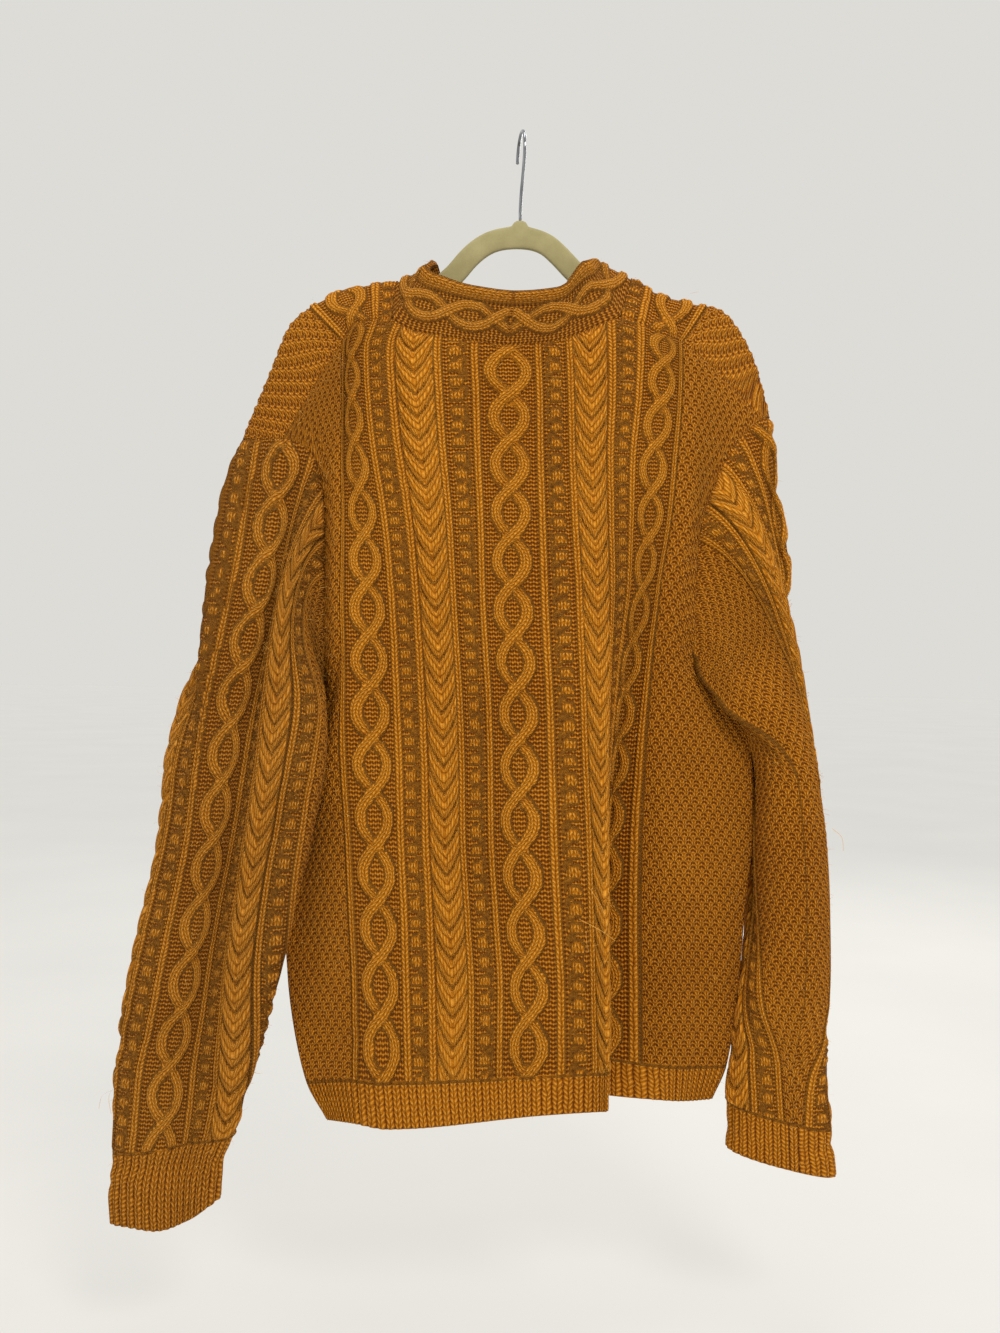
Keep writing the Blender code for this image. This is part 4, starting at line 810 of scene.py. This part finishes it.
def cloth(node, base, ways, relief, fade, material, ring=False):
    """A closed shell: the dense outer face with its relief, a plain inner face, and rounded rims."""
    rows, cols = base.shape[:2]
    outer = base + ways * (relief.height * fade)[..., None]
    keep_rows = kept(rows)
    keep_cols = list(range(0, cols, INNER_STEP)) if ring else kept(cols)
    inner = (base - ways * WALL)[np.ix_(keep_rows, keep_cols)]
    start_inner = rows * cols
    start_rim = start_inner + len(keep_rows) * len(keep_cols)

    def o(i, j):
        return i * cols + j % cols

    def n(i, j):
        return start_inner + i * len(keep_cols) + j % len(keep_cols)

    last_col = cols if ring else cols - 1
    last_kept = len(keep_cols) if ring else len(keep_cols) - 1
    faces = [(o(i, j), o(i, j + 1), o(i + 1, j + 1), o(i + 1, j))
             for i in range(rows - 1) for j in range(last_col)]
    faces += [(n(i, j), n(i + 1, j), n(i + 1, j + 1), n(i, j + 1))
              for i in range(len(keep_rows) - 1) for j in range(last_kept)]
    rim = []

    def rim_row(i, turned):
        """The rim at the first or the last row: a rounded line half way through the wall."""
        beyond = unit(base[i] - base[i + 1 if i == 0 else i - 1]) * RIM_OUT
        first = start_rim + len(rim)
        rim.extend(base[i] - ways[i] * WALL / 2 + beyond)
        inner_i = 0 if i == 0 else len(keep_rows) - 1
        for j in range(last_col):
            face = (o(i, j), first + j, first + (j + 1) % cols, o(i, j + 1))
            faces.append(face[::-1] if turned else face)
        stops = keep_cols + [cols] if ring else keep_cols
        for k, (a, b) in enumerate(zip(stops, stops[1:])):
            face = [n(inner_i, k), n(inner_i, k + 1)] + [first + j % cols for j in range(b, a - 1, -1)]
            faces.append(tuple(face[::-1] if turned else face))
        return first

    bottom = rim_row(0, False)
    top = rim_row(rows - 1, True)
    if not ring:
        for j, inner_j, turned in ((0, 0, True), (cols - 1, len(keep_cols) - 1, False)):
            for k, (a, b) in enumerate(zip(keep_rows, keep_rows[1:])):
                face = [n(k, inner_j), n(k + 1, inner_j)] + [o(i, j) for i in range(b, a - 1, -1)]
                faces.append(tuple(face[::-1] if turned else face))
            faces.append((o(0, j), n(0, inner_j), bottom + j))
            faces.append((o(rows - 1, j), top + j, n(len(keep_rows) - 1, inner_j)))
    points = np.concatenate([outer.reshape(-1, 3), inner.reshape(-1, 3), np.array(rim)])
    name = "knitted_" + node
    mesh = closed_mesh(name, points, faces, material)

    def spread(field):
        """A value for every point of the mesh from the field of the outer face."""
        inner_part = field[np.ix_(keep_rows, keep_cols)]
        return np.concatenate([field.ravel(), inner_part.ravel(), field[0], field[-1]])

    knit, moss, high, u, v = (
        spread(field) for field in (relief.knit, relief.moss, relief.height * fade, relief.u, relief.v)
    )
    knit[start_inner:] = 0.0
    high[start_inner:] = INSIDE_HIGH
    loops = np.zeros(len(mesh.loops), int)
    mesh.loops.foreach_get("vertex_index", loops)
    uv = mesh.uv_layers.new(name="stitches")
    uv.data.foreach_set("uv", np.stack([u[loops], v[loops]], axis=-1).ravel())
    kind = mesh.attributes.new("kind", "FLOAT_COLOR", "POINT")
    # The third channel is the relief's height, which the wool material turns into painted shade in low
    # places.
    kind.data.foreach_set("color", np.stack([knit, moss, high / 5.0, np.ones_like(high)], axis=-1).ravel())
    thing = placed(name, mesh)
    CLOTHS[node] = (outer, ways)
    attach(thing, "root")
    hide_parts(node)
    return thing


def even_steps(values, line):
    """Values picked from a fine list so that the places that belong to them lie a row's step apart."""
    lengths = lengths_along(line)
    count = max(2, round(lengths[-1] / ROW_STEP))
    return np.interp(np.linspace(0, lengths[-1], count + 1), lengths, values)


def evenly(start, end, step):
    return np.linspace(start, end, round(abs(end - start) / step) + 1)


def shoulders_moved(base):
    """A grid with the shoulders' outline moved a little, alike in every piece that covers them."""
    lift = np.zeros(base.shape[:-1])
    for at, half, up in SHOULDER_MOVES:
        lift += up * bell(base[..., 0] - at, half) * ease((base[..., 2] - SHOULDER_FROM) / 40.0)
    return base + lift[..., None] * np.array([0.0, 0.0, 1.0])


def make_back(material):
    hem = evenly(HEM_END_LEVEL, HEM_LEVEL, ROW_STEP)
    body = evenly(HEM_LEVEL, REGULAR_TOP, ROW_STEP)[1:]
    shares = np.linspace(0.0, 1.0, round((TOP_LEVEL - REGULAR_TOP) / ROW_STEP) + 1)[1:]
    line = evenly(-SIDE_AT, SIDE_AT, COLUMN_STEP)
    low = np.concatenate([hem, body])[:, None] * np.ones_like(line)
    high = REGULAR_TOP + (top_level(line) - REGULAR_TOP) * shares[:, None]
    level = np.concatenate([low, high])
    across = line * np.ones_like(level)
    base = back_point(across, level)
    ways = unit(smoothed(grid_ways(base, 1.0), 2))
    from_side = SIDE_AT - np.abs(across)
    calm = ease(from_side / CALM) * ease((level - HEM_END_LEVEL) / CALM)
    calm = calm * ease((TOP_LEVEL - 6.0 - level) / 22.0)
    base = base + ways * (crease_heights("back", across, level) * calm)[..., None]
    base = shoulders_moved(base)
    relief = body_relief(base, across, level, repeat_of(level), -level)
    top_gap = np.linalg.norm(base - base[-1], axis=-1)
    fade = ease(from_side / SEAM_FADE) * ease(top_gap / SEAM_FADE)
    back = cloth("back", base, ways, relief, fade, material)


def make_front(side, material):
    name = "front_" + side
    armpit = ARMPIT[side]
    fine = np.linspace(HEM_END_LEVEL, SEAM_LEVEL, 900)
    levels = even_steps(fine, front_point(side, np.full_like(fine, CHAIN_AT), fine))
    shares = np.linspace(0.0, 1.0, round((SIDE_AT - BAND_SEAM_AT) / COLUMN_STEP) + 1)
    edge = v_edge(levels)[:, None]
    across = edge + (SIDE_AT - edge) * shares
    level = levels[:, None] * np.ones_like(across)
    base = front_point(side, across, level)
    base[..., 1] += np.where((level <= armpit) & (shares > 0.999), SEAM_GAP, 0.0)
    ways = unit(smoothed(grid_ways(base, -SIGN[side]), 2))
    calm = ease((SIDE_AT - across) / CALM) * ease((across - edge) / CALM)
    calm = calm * ease((level - HEM_END_LEVEL) / CALM) * ease((-150.0 - level) / 30.0)
    base = base + ways * (crease_heights(name, across, level) * calm)[..., None]
    base = shoulders_moved(base)
    lengths = lengths_along(base[:, np.argmin(np.abs(across[0] - CHAIN_AT))])
    above = np.maximum(lengths - np.interp(armpit, levels, lengths), 0.0)
    repeat = repeat_of(np.minimum(levels, armpit)) - above / UPPER_FRONT_REPEAT
    down = np.where(above > 0, -armpit - above, -levels)
    repeat, down = (values[:, None] * np.ones_like(level) for values in (repeat, down))
    relief = body_relief(base, across, level, repeat, down)
    fade = ease((SIDE_AT - across) / SEAM_FADE) * ease((across - edge) / SEAM_FADE)
    fade = fade * ease((lengths[-1] - lengths) / SEAM_FADE)[:, None]
    front = cloth(name, base, ways, relief, fade, material)


def band_seam(side):
    """The line where a band is sewn on, up the front and round the neck, with the way to its free edge."""
    s = SIGN[side]
    fine = np.linspace(HEM_END_LEVEL, SEAM_LEVEL, 900)
    levels = even_steps(fine, front_point(side, v_edge(fine), fine))
    front_line = front_point(side, v_edge(levels), levels)
    front_free = np.stack(read(BAND_ON_FRONT, "dx dy dz", levels), axis=-1)
    front_free[:, 0] *= -s
    fine = np.linspace(NECK_AT, 0.0, 300)
    across = s * even_steps(fine, back_point(s * fine, top_level(s * fine)))[1:]
    neck_line = back_point(across, top_level(across))
    neck_free = np.stack(read(BAND_ON_BACK, "dx dy dz", across), axis=-1)
    neck_line[-1, 0] += s * SEAM_GAP / 2
    return np.concatenate([front_line, neck_line]), np.concatenate([front_free, neck_free])


def make_band(side, material):
    s = SIGN[side]
    line, free = band_seam(side)
    line = smoothed(line[:, None, :], 3)
    free = smoothed(free[:, None, :], 6)
    shares = np.linspace(0.0, 1.0, BAND_COLUMNS)
    base = line + free * shares[None, :, None] + unit(free) * SEAM_GAP
    along = np.gradient(base, axis=0)
    along[-1] = np.array([-s, 0.0, 0.0])
    ways = unit(np.cross(along, free) * -s)
    ways = unit(smoothed(ways, 3))
    base = shoulders_moved(base)
    width = np.linalg.norm(free, axis=-1)
    across = width * shares
    lengths = lengths_along(base[:, BAND_COLUMNS // 2])
    left = (lengths[-1] - lengths)[:, None] * np.ones_like(across)
    relief = Relief(across, left, left / ROW)
    repeat = (left - BAND_FIRST_OVAL) / BAND_REPEAT
    relief.chain(0.44 * width, repeat, BAND_REPEAT, BAND_SWING, BAND_STRAND_HALF)
    twist = (left + 1.1 * across) / ROPE_TWIST
    d = (across - 0.9 * width) / (0.1 * width)
    relief.lay(ROPE * arch(d) * (0.72 + 0.28 * np.cos(2 * math.pi * twist)), d, left / ROW)
    relief.rib(0.77 * width, 1.6, 2.0)
    fade = ease(across / 5.0) * ease((width - across + 0.3) / 1.2) * ease(left / 3.0 + 0.2)
    band = cloth("band_" + side, base, ways, relief, fade, material)


def make_sleeve(side, material):
    name = "sleeve_" + side
    patterned = evenly(-SLEEVE_PANEL, SLEEVE_PANEL, COLUMN_STEP)
    shares = np.linspace(0.0, 1.0, SLEEVE_MOSS_COLUMNS + 1)[1:]

    def row_across(step):
        beyond = SLEEVE_PANEL + (sleeve_half(side, step) - SLEEVE_PANEL) * shares
        return np.concatenate([-beyond[::-1], patterned, beyond[:-1]])

    fine = np.linspace(0.0, 2.0, 400)
    centre_line = np.array([sleeve_row(side, np.array([0.0]), step)[0] for step in fine])
    steps = even_steps(fine, centre_line)
    across = np.array([row_across(step) for step in steps])
    base = np.array([sleeve_row(side, a, step) for a, step in zip(across, steps)])
    ways = unit(smoothed(grid_ways(base, SIGN[side], ring=True), 2, ring=True))
    from_top = lengths_down(base)
    down = smoothed(from_top - from_top[int(np.argmin(np.abs(steps - 1.0)))], 8, ring=True)
    calm = ease(from_top / 25.0) * ease((from_top[-1] - from_top) / 12.0)
    base = base + ways * (crease_heights(name, across, -down) * calm)[..., None]
    base = sleeve_moved(side, base)
    laid = across
    if side == "left":
        laid = np.where(across < 0, true_stitches(base, across, -1.0) * STITCH, across)
    relief = sleeve_relief(base, laid, (down - SLEEVE_CROSSING[side]) / SLEEVE_REPEAT + 0.5, down)
    cuff_step = 1.0 + (SLEEVE_JOIN_Z - CUFF_Z[side]) / (SLEEVE_JOIN_Z - SLEEVES[side]["z"][-1])
    cuff = ease((steps[:, None] - cuff_step) / 0.008 + 0.5) * np.ones_like(across)
    half = np.array([sleeve_half(side, step) for step in steps])[:, None]
    ribs = 2 * round(float(half[-1, 0]) / HEM_RIB)
    relief.ribbing(across / half / 2 * ribs, cuff)
    sleeve = cloth(name, base, ways, relief, ease(from_top / SEAM_FADE), material, ring=True)


def sleeve_moved(side, base):
    """A sleeve with its outline moved a little."""
    x, y, z = (base[..., i] for i in range(3))
    sideways = np.zeros_like(x)
    for at, half, dx, (x_from, x_full), (y_from, y_full) in SLEEVE_MOVES[side]:
        share = ease((x - x_from) / (x_full - x_from)) * ease((y - y_from) / (y_full - y_from))
        sideways += dx * share * bell(z - at, half)
    drop = np.zeros_like(x)
    if side in CUFF_DROP:
        at, half, depth, (z_from, z_full) = CUFF_DROP[side]
        drop = depth * ease((z - z_from) / (z_full - z_from)) * bell(x - at, half)
    return np.stack([x + sideways, y, z - drop], axis=-1)


class Value:
    """What a node gives, with the usual signs between two such values or a value and a number."""

    def __init__(self, owner, socket):
        self.owner, self.socket = owner, socket

    def __add__(self, other):
        return self.owner.math("ADD", self, other)

    def __sub__(self, other):
        return self.owner.math("SUBTRACT", self, other)

    def __mul__(self, other):
        return self.owner.math("MULTIPLY", self, other)

    def __pow__(self, other):
        return self.owner.math("POWER", self, other)


class Nodes:
    """Short ways to add nodes to a material."""

    def __init__(self, name):
        self.material = bpy.data.materials.new(name)
        self.material.use_nodes = True
        self.tree = self.material.node_tree
        self.shader = self.tree.nodes["Principled BSDF"]

    def put(self, socket, value):
        if isinstance(value, Value):
            self.tree.links.new(value.socket, socket)
        else:
            socket.default_value = value

    def add(self, kind, inputs=None, output=0, **settings):
        """Adds a node with its settings and inputs, and gives one of its outputs."""
        node = self.tree.nodes.new(kind)
        for key, value in settings.items():
            setattr(node, key, value)
        for key, value in (inputs or {}).items():
            self.put(node.inputs[key], value)
        return Value(self, node.outputs[output])

    def shade(self, inputs):
        for key, value in inputs.items():
            self.put(self.shader.inputs[key], value)

    def place(self):
        return self.add("ShaderNodeTexCoord", output="Object")

    def math(self, operation, *values):
        return self.add("ShaderNodeMath", dict(enumerate(values)), operation=operation)

    def cosine(self, value, turns):
        return self.math("COSINE", value * (2 * math.pi * turns))

    def noise(self, place, scale, detail=2.0, roughness=0.5):
        inputs = {"Vector": place, "Scale": scale, "Detail": detail, "Roughness": roughness}
        return self.add("ShaderNodeTexNoise", inputs)

    def ramp(self, value, stops):
        node = self.tree.nodes.new("ShaderNodeValToRGB")
        while len(node.color_ramp.elements) < len(stops):
            node.color_ramp.elements.new(0.5)
        for element, (at, colour) in zip(node.color_ramp.elements, stops):
            element.position = at
            element.color = (*colour, 1.0)
        self.put(node.inputs[0], value)
        return Value(self, node.outputs[0])

    def bump(self, height, distance, strength):
        inputs = {"Height": height, "Distance": distance, "Strength": strength}
        self.shade({"Normal": self.add("ShaderNodeBump", inputs)})


def wool_material(name, deep, mid, light):
    """Knitted wool. The stitches come from the grid's own stitch coordinates."""
    m = Nodes(name)
    place = m.place()
    stitches = m.add("ShaderNodeUVMap", uv_map="stitches")
    u, v = (m.add("ShaderNodeSeparateXYZ", {0: stitches}, output) for output in (0, 1))
    kinds = m.add("ShaderNodeAttribute", output="Color", attribute_name="kind")
    knit, moss, high = (m.add("ShaderNodeSeparateColor", {0: kinds}, output) for output in (0, 1, 2))

    wobble = (m.noise(place, 160.0, 1.0) - 0.5) * 0.35
    u = u + wobble
    v = v + wobble * 0.8
    side = m.math("ABSOLUTE", m.math("FRACT", u + 0.5) - 0.5) * 2.0
    leg = m.math("SINE", side * math.pi)
    twist = m.cosine(v + side * 0.7, 1.0) * 0.5 + 0.5
    knit_height = leg**0.7 * (twist * 0.68 + 0.32)
    purl_wave = m.cosine(v + m.cosine(u, 1.0) * 0.13, 1.0)
    purl_height = purl_wave * 0.4 + (m.cosine(u, 2.0) * 0.24 + 0.34)
    seeds = m.cosine(u, 0.5) * m.cosine(v, 0.25)
    knit_share = m.math("MAXIMUM", knit, m.math("GREATER_THAN", seeds, 0.0) * moss)
    stitch = purl_height + knit_share * (knit_height - purl_height)

    fibres = m.noise(place, 1500.0, 3.0, 0.65)
    clumps = m.noise(place, 420.0, 2.0, 0.6)
    broad = m.noise(place, 9.0, 3.0, 0.55)
    # Painted shade: the colour is darker where the stitch pattern and the relief's height are low, in the
    # grooves between legs and strands and in the purl ground. The noises add tone that differs at random.
    tone = stitch * 0.86 - 0.13 + m.math("MINIMUM", high, 0.6) * 0.36
    tone = tone + (clumps - 0.5) * 0.42 + (fibres - 0.5) * 0.3 + (broad - 0.5) * 0.3
    m.shade({
        "Base Color": m.ramp(tone, [(0.0, deep), (0.42, mid), (0.95, light)]),
        "Roughness": 0.92, "Specular IOR Level": 0.1,
        "Sheen Weight": 0.12, "Sheen Roughness": 0.55, "Sheen Tint": (0.95, 0.55, 0.15, 1.0),
    })
    m.bump(stitch + fibres * 0.34 + clumps * 0.3, 0.002, 1.0)
    return m.material


def fuzz_material():
    m = Nodes("loose fibres")
    colour = m.ramp(m.noise(m.place(), 60.0), [(0.3, (0.55, 0.25, 0.04)), (0.7, (0.8, 0.45, 0.11))])
    m.shade({"Base Color": colour, "Roughness": 0.9, "Specular IOR Level": 0.1})
    return m.material


def flock_material():
    m = Nodes("olive flock on a moulded arm")
    place = m.place()
    grain = m.noise(place, 2600.0, 3.0, 0.7)
    tone = grain * 0.55 + m.noise(place, 38.0, 3.0, 0.6) * 0.5
    olives = [(0.25, (0.23, 0.2, 0.085)), (0.55, (0.35, 0.305, 0.15)), (0.8, (0.46, 0.405, 0.22))]
    m.shade({
        "Base Color": m.ramp(tone, olives), "Roughness": 0.95, "Specular IOR Level": 0.15,
        "Sheen Weight": 0.5, "Sheen Roughness": 0.4, "Sheen Tint": (0.8, 0.78, 0.55, 1.0),
    })
    m.bump(grain, 0.0004, 0.7)
    return m.material


def chrome_material():
    m = Nodes("chromed steel wire")
    place = m.place()
    marks = m.noise(place, 240.0, 4.0, 0.6)
    colour = m.ramp(m.noise(place, 45.0), [(0.35, (0.2, 0.21, 0.23)), (0.7, (0.36, 0.37, 0.39))])
    m.shade({"Base Color": colour, "Roughness": marks * 0.2 + 0.04, "Metallic": 1.0})
    m.bump(marks, 0.00008, 0.4)
    return m.material


def floor_material():
    m = Nodes("pale floor")
    colour = m.ramp(m.noise(m.place(), 2.0, 4.0), [(0.3, (0.28, 0.275, 0.262)), (0.7, (0.31, 0.305, 0.29))])
    m.shade({"Base Color": colour, "Roughness": 0.85, "Emission Color": PALE, "Emission Strength": 0.54})
    return m.material


def tube(node, name, grid, material):
    """A smooth tube from a grid of rings, in place of a node of the part."""
    rows, cols = grid.shape[:2]
    faces = [(i * cols + j, i * cols + (j + 1) % cols, (i + 1) * cols + (j + 1) % cols, (i + 1) * cols + j)
             for i in range(rows - 1) for j in range(cols)]
    faces.append(tuple(range(cols - 1, -1, -1)))
    faces.append(tuple(range((rows - 1) * cols, rows * cols)))
    thing = placed(name, closed_mesh(name, grid.reshape(-1, 3), faces, material))
    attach(thing, "root")
    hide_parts(node)
    return thing


def make_arms(material):
    """The hanger's arms: a flat bow with rounded edges, and a small collar where the wire goes in."""
    fine = np.linspace(ARM_TOP["x"][0], ARM_TOP["x"][-1], 600)
    tops = np.stack([fine, *read(ARM_TOP, "z", fine)], axis=-1)
    lengths = lengths_along(tops)
    at = np.linspace(0.0, lengths[-1], 181)
    tops = np.stack([np.interp(at, lengths, tops[:, i]) for i in (0, 1)], axis=-1)
    tops = smoothed(tops[:, None, :], 6)[:, 0, :]
    tangent = unit(np.gradient(tops, axis=0))
    down = np.stack([tangent[:, 1], -tangent[:, 0]], axis=-1)
    ends = np.minimum(at, lengths[-1] - at)
    depth = ARM_DEPTH * (0.4 + 0.6 * np.sqrt(np.clip(ends / 12.0, 0.0, 1.0)))
    collar = 4.6 * bell(tops[:, 0], 6.4, 6) + 1.4 * bell(tops[:, 0], 11.0)
    side, up = squared_circle(np.linspace(0.0, 2 * math.pi, 24, endpoint=False), 0.5)
    middle = tops + down * ((depth - collar) / 2)[:, None]
    half = down * ((depth + collar) / 2)[:, None]
    thick = ARM_THICK / 2 * np.minimum(1.0, 0.35 + ends / 6.0)
    grid = np.stack(
        [middle[:, :1] - half[:, :1] * up, side * thick[:, None], middle[:, 1:] - half[:, 1:] * up], axis=-1
    )
    arms = tube("hanger_arms", "flocked_arms", grid, material)


def make_hook(material):
    """The wire hook, swept round and closed with a rounded tip."""
    radius = HOOK_RADIUS + WIRE / 2
    bend = STEM_BOTTOM + STEM_STRAIGHT
    path = [(0.0, STEM_BOTTOM - 2.0), (0.0, bend)]
    for t in np.arange(1, 24) / 24.0:
        path.append((-radius * ease(t), bend + (-HOOK_RADIUS - bend) * t))
    for turn in math.pi * (1 - np.arange(49) / 48.0):
        path.append((radius * math.cos(turn), -HOOK_RADIUS + radius * math.sin(turn)))
    path = np.array(path)
    path = np.stack([-HOOK_TURN * path[:, 0], path[:, 0], path[:, 1]], axis=-1)
    tangent = unit(np.gradient(path, axis=0))
    side = unit(np.array([1.0, HOOK_TURN, 0.0]))
    other = unit(np.cross(tangent, side))
    turns = np.linspace(0.0, 2 * math.pi, 16, endpoint=False)[:, None]
    places = list(path)
    halves = [WIRE / 2 * 0.9] + [WIRE / 2] * (len(path) - 1)
    ups = list(other)
    for share in (0.5, 0.85, 1.0):
        places.append(path[-1] + tangent[-1] * WIRE / 2 * (share - 0.5))
        halves.append(WIRE / 2 * math.sqrt(1 - (share * 0.98) ** 2))
        ups.append(other[-1])
    rings = [p + w * (np.cos(turns) * side + np.sin(turns) * o) for p, w, o in zip(places, halves, ups)]
    hook = tube("hanger_hook", "chromed_hook", np.array(rings), material)


def make_fuzz(material):
    """The halo of loose fibres: thin curved slips that stand off the wool, and a few long hairs."""
    random = np.random.default_rng(41)
    points, faces = [], []
    for name, count in FIBRES.items():
        outer, ways = CLOTHS[name]
        rows = random.integers(1, outer.shape[0] - 1, count)
        cols = random.integers(1, outer.shape[1] - 1, count)
        start = outer[rows, cols]
        out = ways[rows, cols]
        lean = unit(random.normal(size=(count, 3)))
        way = unit(out * 0.75 + lean * 0.8)
        bend = unit(random.normal(size=(count, 3)) + np.array([0.0, 0.0, -0.5]))
        size = (1.6 + 2.2 * random.exponential(1.0, (count, 1))).clip(1.2, 10.0)
        across = unit(np.cross(way, bend)) * random.uniform(0.07, 0.13, (count, 1))
        root = start - out * 0.4
        middle = start + way * size * 0.55
        tip = start + way * size * 0.85 + bend * size * 0.4
        for slip in zip(root - across, root + across, middle - across, middle + across, tip):
            n = len(points)
            points.extend(slip)
            faces.extend([(n, n + 1, n + 3, n + 2), (n + 2, n + 3, n + 4)])
    half = np.array([STRAY_HALF, 0.0, STRAY_HALF])
    for stray in STRAYS:
        line = np.array(stray, float)
        shares = np.linspace(0.0, len(line) - 1.0, STRAY_POINTS)
        n = len(points)
        for place in np.stack([monotone(range(len(line)), line[:, i], shares) for i in range(3)], axis=-1):
            points.extend([place + half, place - half])
        faces.extend([(n + k, n + k + 1, n + k + 3, n + k + 2) for k in range(0, 2 * STRAY_POINTS - 2, 2)])
    mesh = bpy.data.meshes.new("fuzz")
    mesh.from_pydata(np.array(points) * MM, [], faces)
    mesh.materials.append(material)
    thing = placed("fuzz", mesh)
    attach(thing, "root")


def light(name, place, size, power, colour):
    lamp = bpy.data.lights.new(name, "AREA")
    lamp.shape = "DISK"
    lamp.size = size
    lamp.energy = power
    lamp.color = colour
    thing = placed(name, lamp)
    thing.location = place
    thing.rotation_euler = (Vector(AIM) - Vector(place)).to_track_quat("-Z", "Y").to_euler()


def studio():
    """A pale floor, a pale world, soft lights and the camera."""
    mesh = bpy.data.meshes.new("floor")
    corners = [(-1, -1), (1, -1), (1, 1), (-1, 1)]
    mesh.from_pydata([(x * FLOOR_HALF, y * FLOOR_HALF, FLOOR_Z) for x, y in corners], [], [(0, 1, 2, 3)])
    mesh.materials.append(floor_material())
    floor = placed("floor", mesh)
    world = bpy.data.worlds.new("pale studio")
    world.use_nodes = True
    background = world.node_tree.nodes["Background"]
    background.inputs["Color"].default_value = PALE
    background.inputs["Strength"].default_value = 0.84
    bpy.context.scene.world = world
    light("key", (0.8, -1.9, 1.1), 0.8, 33.0, (1.0, 0.97, 0.92))
    light("fill", (-1.9, -1.5, -0.2), 1.4, 5.0, (0.98, 0.98, 1.0))
    light("behind", (0.9, 2.2, 0.8), 1.2, 26.0, (1.0, 0.98, 0.95))
    light("top", (0.0, -0.2, 1.3), 0.9, 8.0, (1.0, 1.0, 1.0))
    bpy.context.scene.view_settings.view_transform = "Standard"
    lens = bpy.data.cameras.new("camera")
    lens.sensor_fit = "HORIZONTAL"
    lens.sensor_width = SENSOR
    lens.lens = SENSOR / (SEEN_WIDTH / -CAMERA_AT[1])
    camera = placed("camera", lens)
    camera.location = CAMERA_AT
    camera.rotation_euler = (math.radians(90.0), math.radians(CAMERA_ROLL), 0.0)
    bpy.context.scene.camera = camera


wool = wool_material("mustard wool", (0.15, 0.034, 0.001), (0.52, 0.175, 0.005), (0.83, 0.36, 0.04))
# The same mustard wool with darker tones: painted shade for the left sleeve and the bands.
shaded_tones = ((0.13, 0.031, 0.001), (0.45, 0.158, 0.008), (0.74, 0.32, 0.045))
painted_shade_wool = wool_material("mustard wool with painted shade", *shaded_tones)
make_arms(flock_material())
make_hook(chrome_material())
make_back(wool)
for side_name, sleeve_wool in (("left", painted_shade_wool), ("right", wool)):
    make_front(side_name, wool)
    make_band(side_name, painted_shade_wool)
    make_sleeve(side_name, sleeve_wool)
make_fuzz(fuzz_material())
studio()
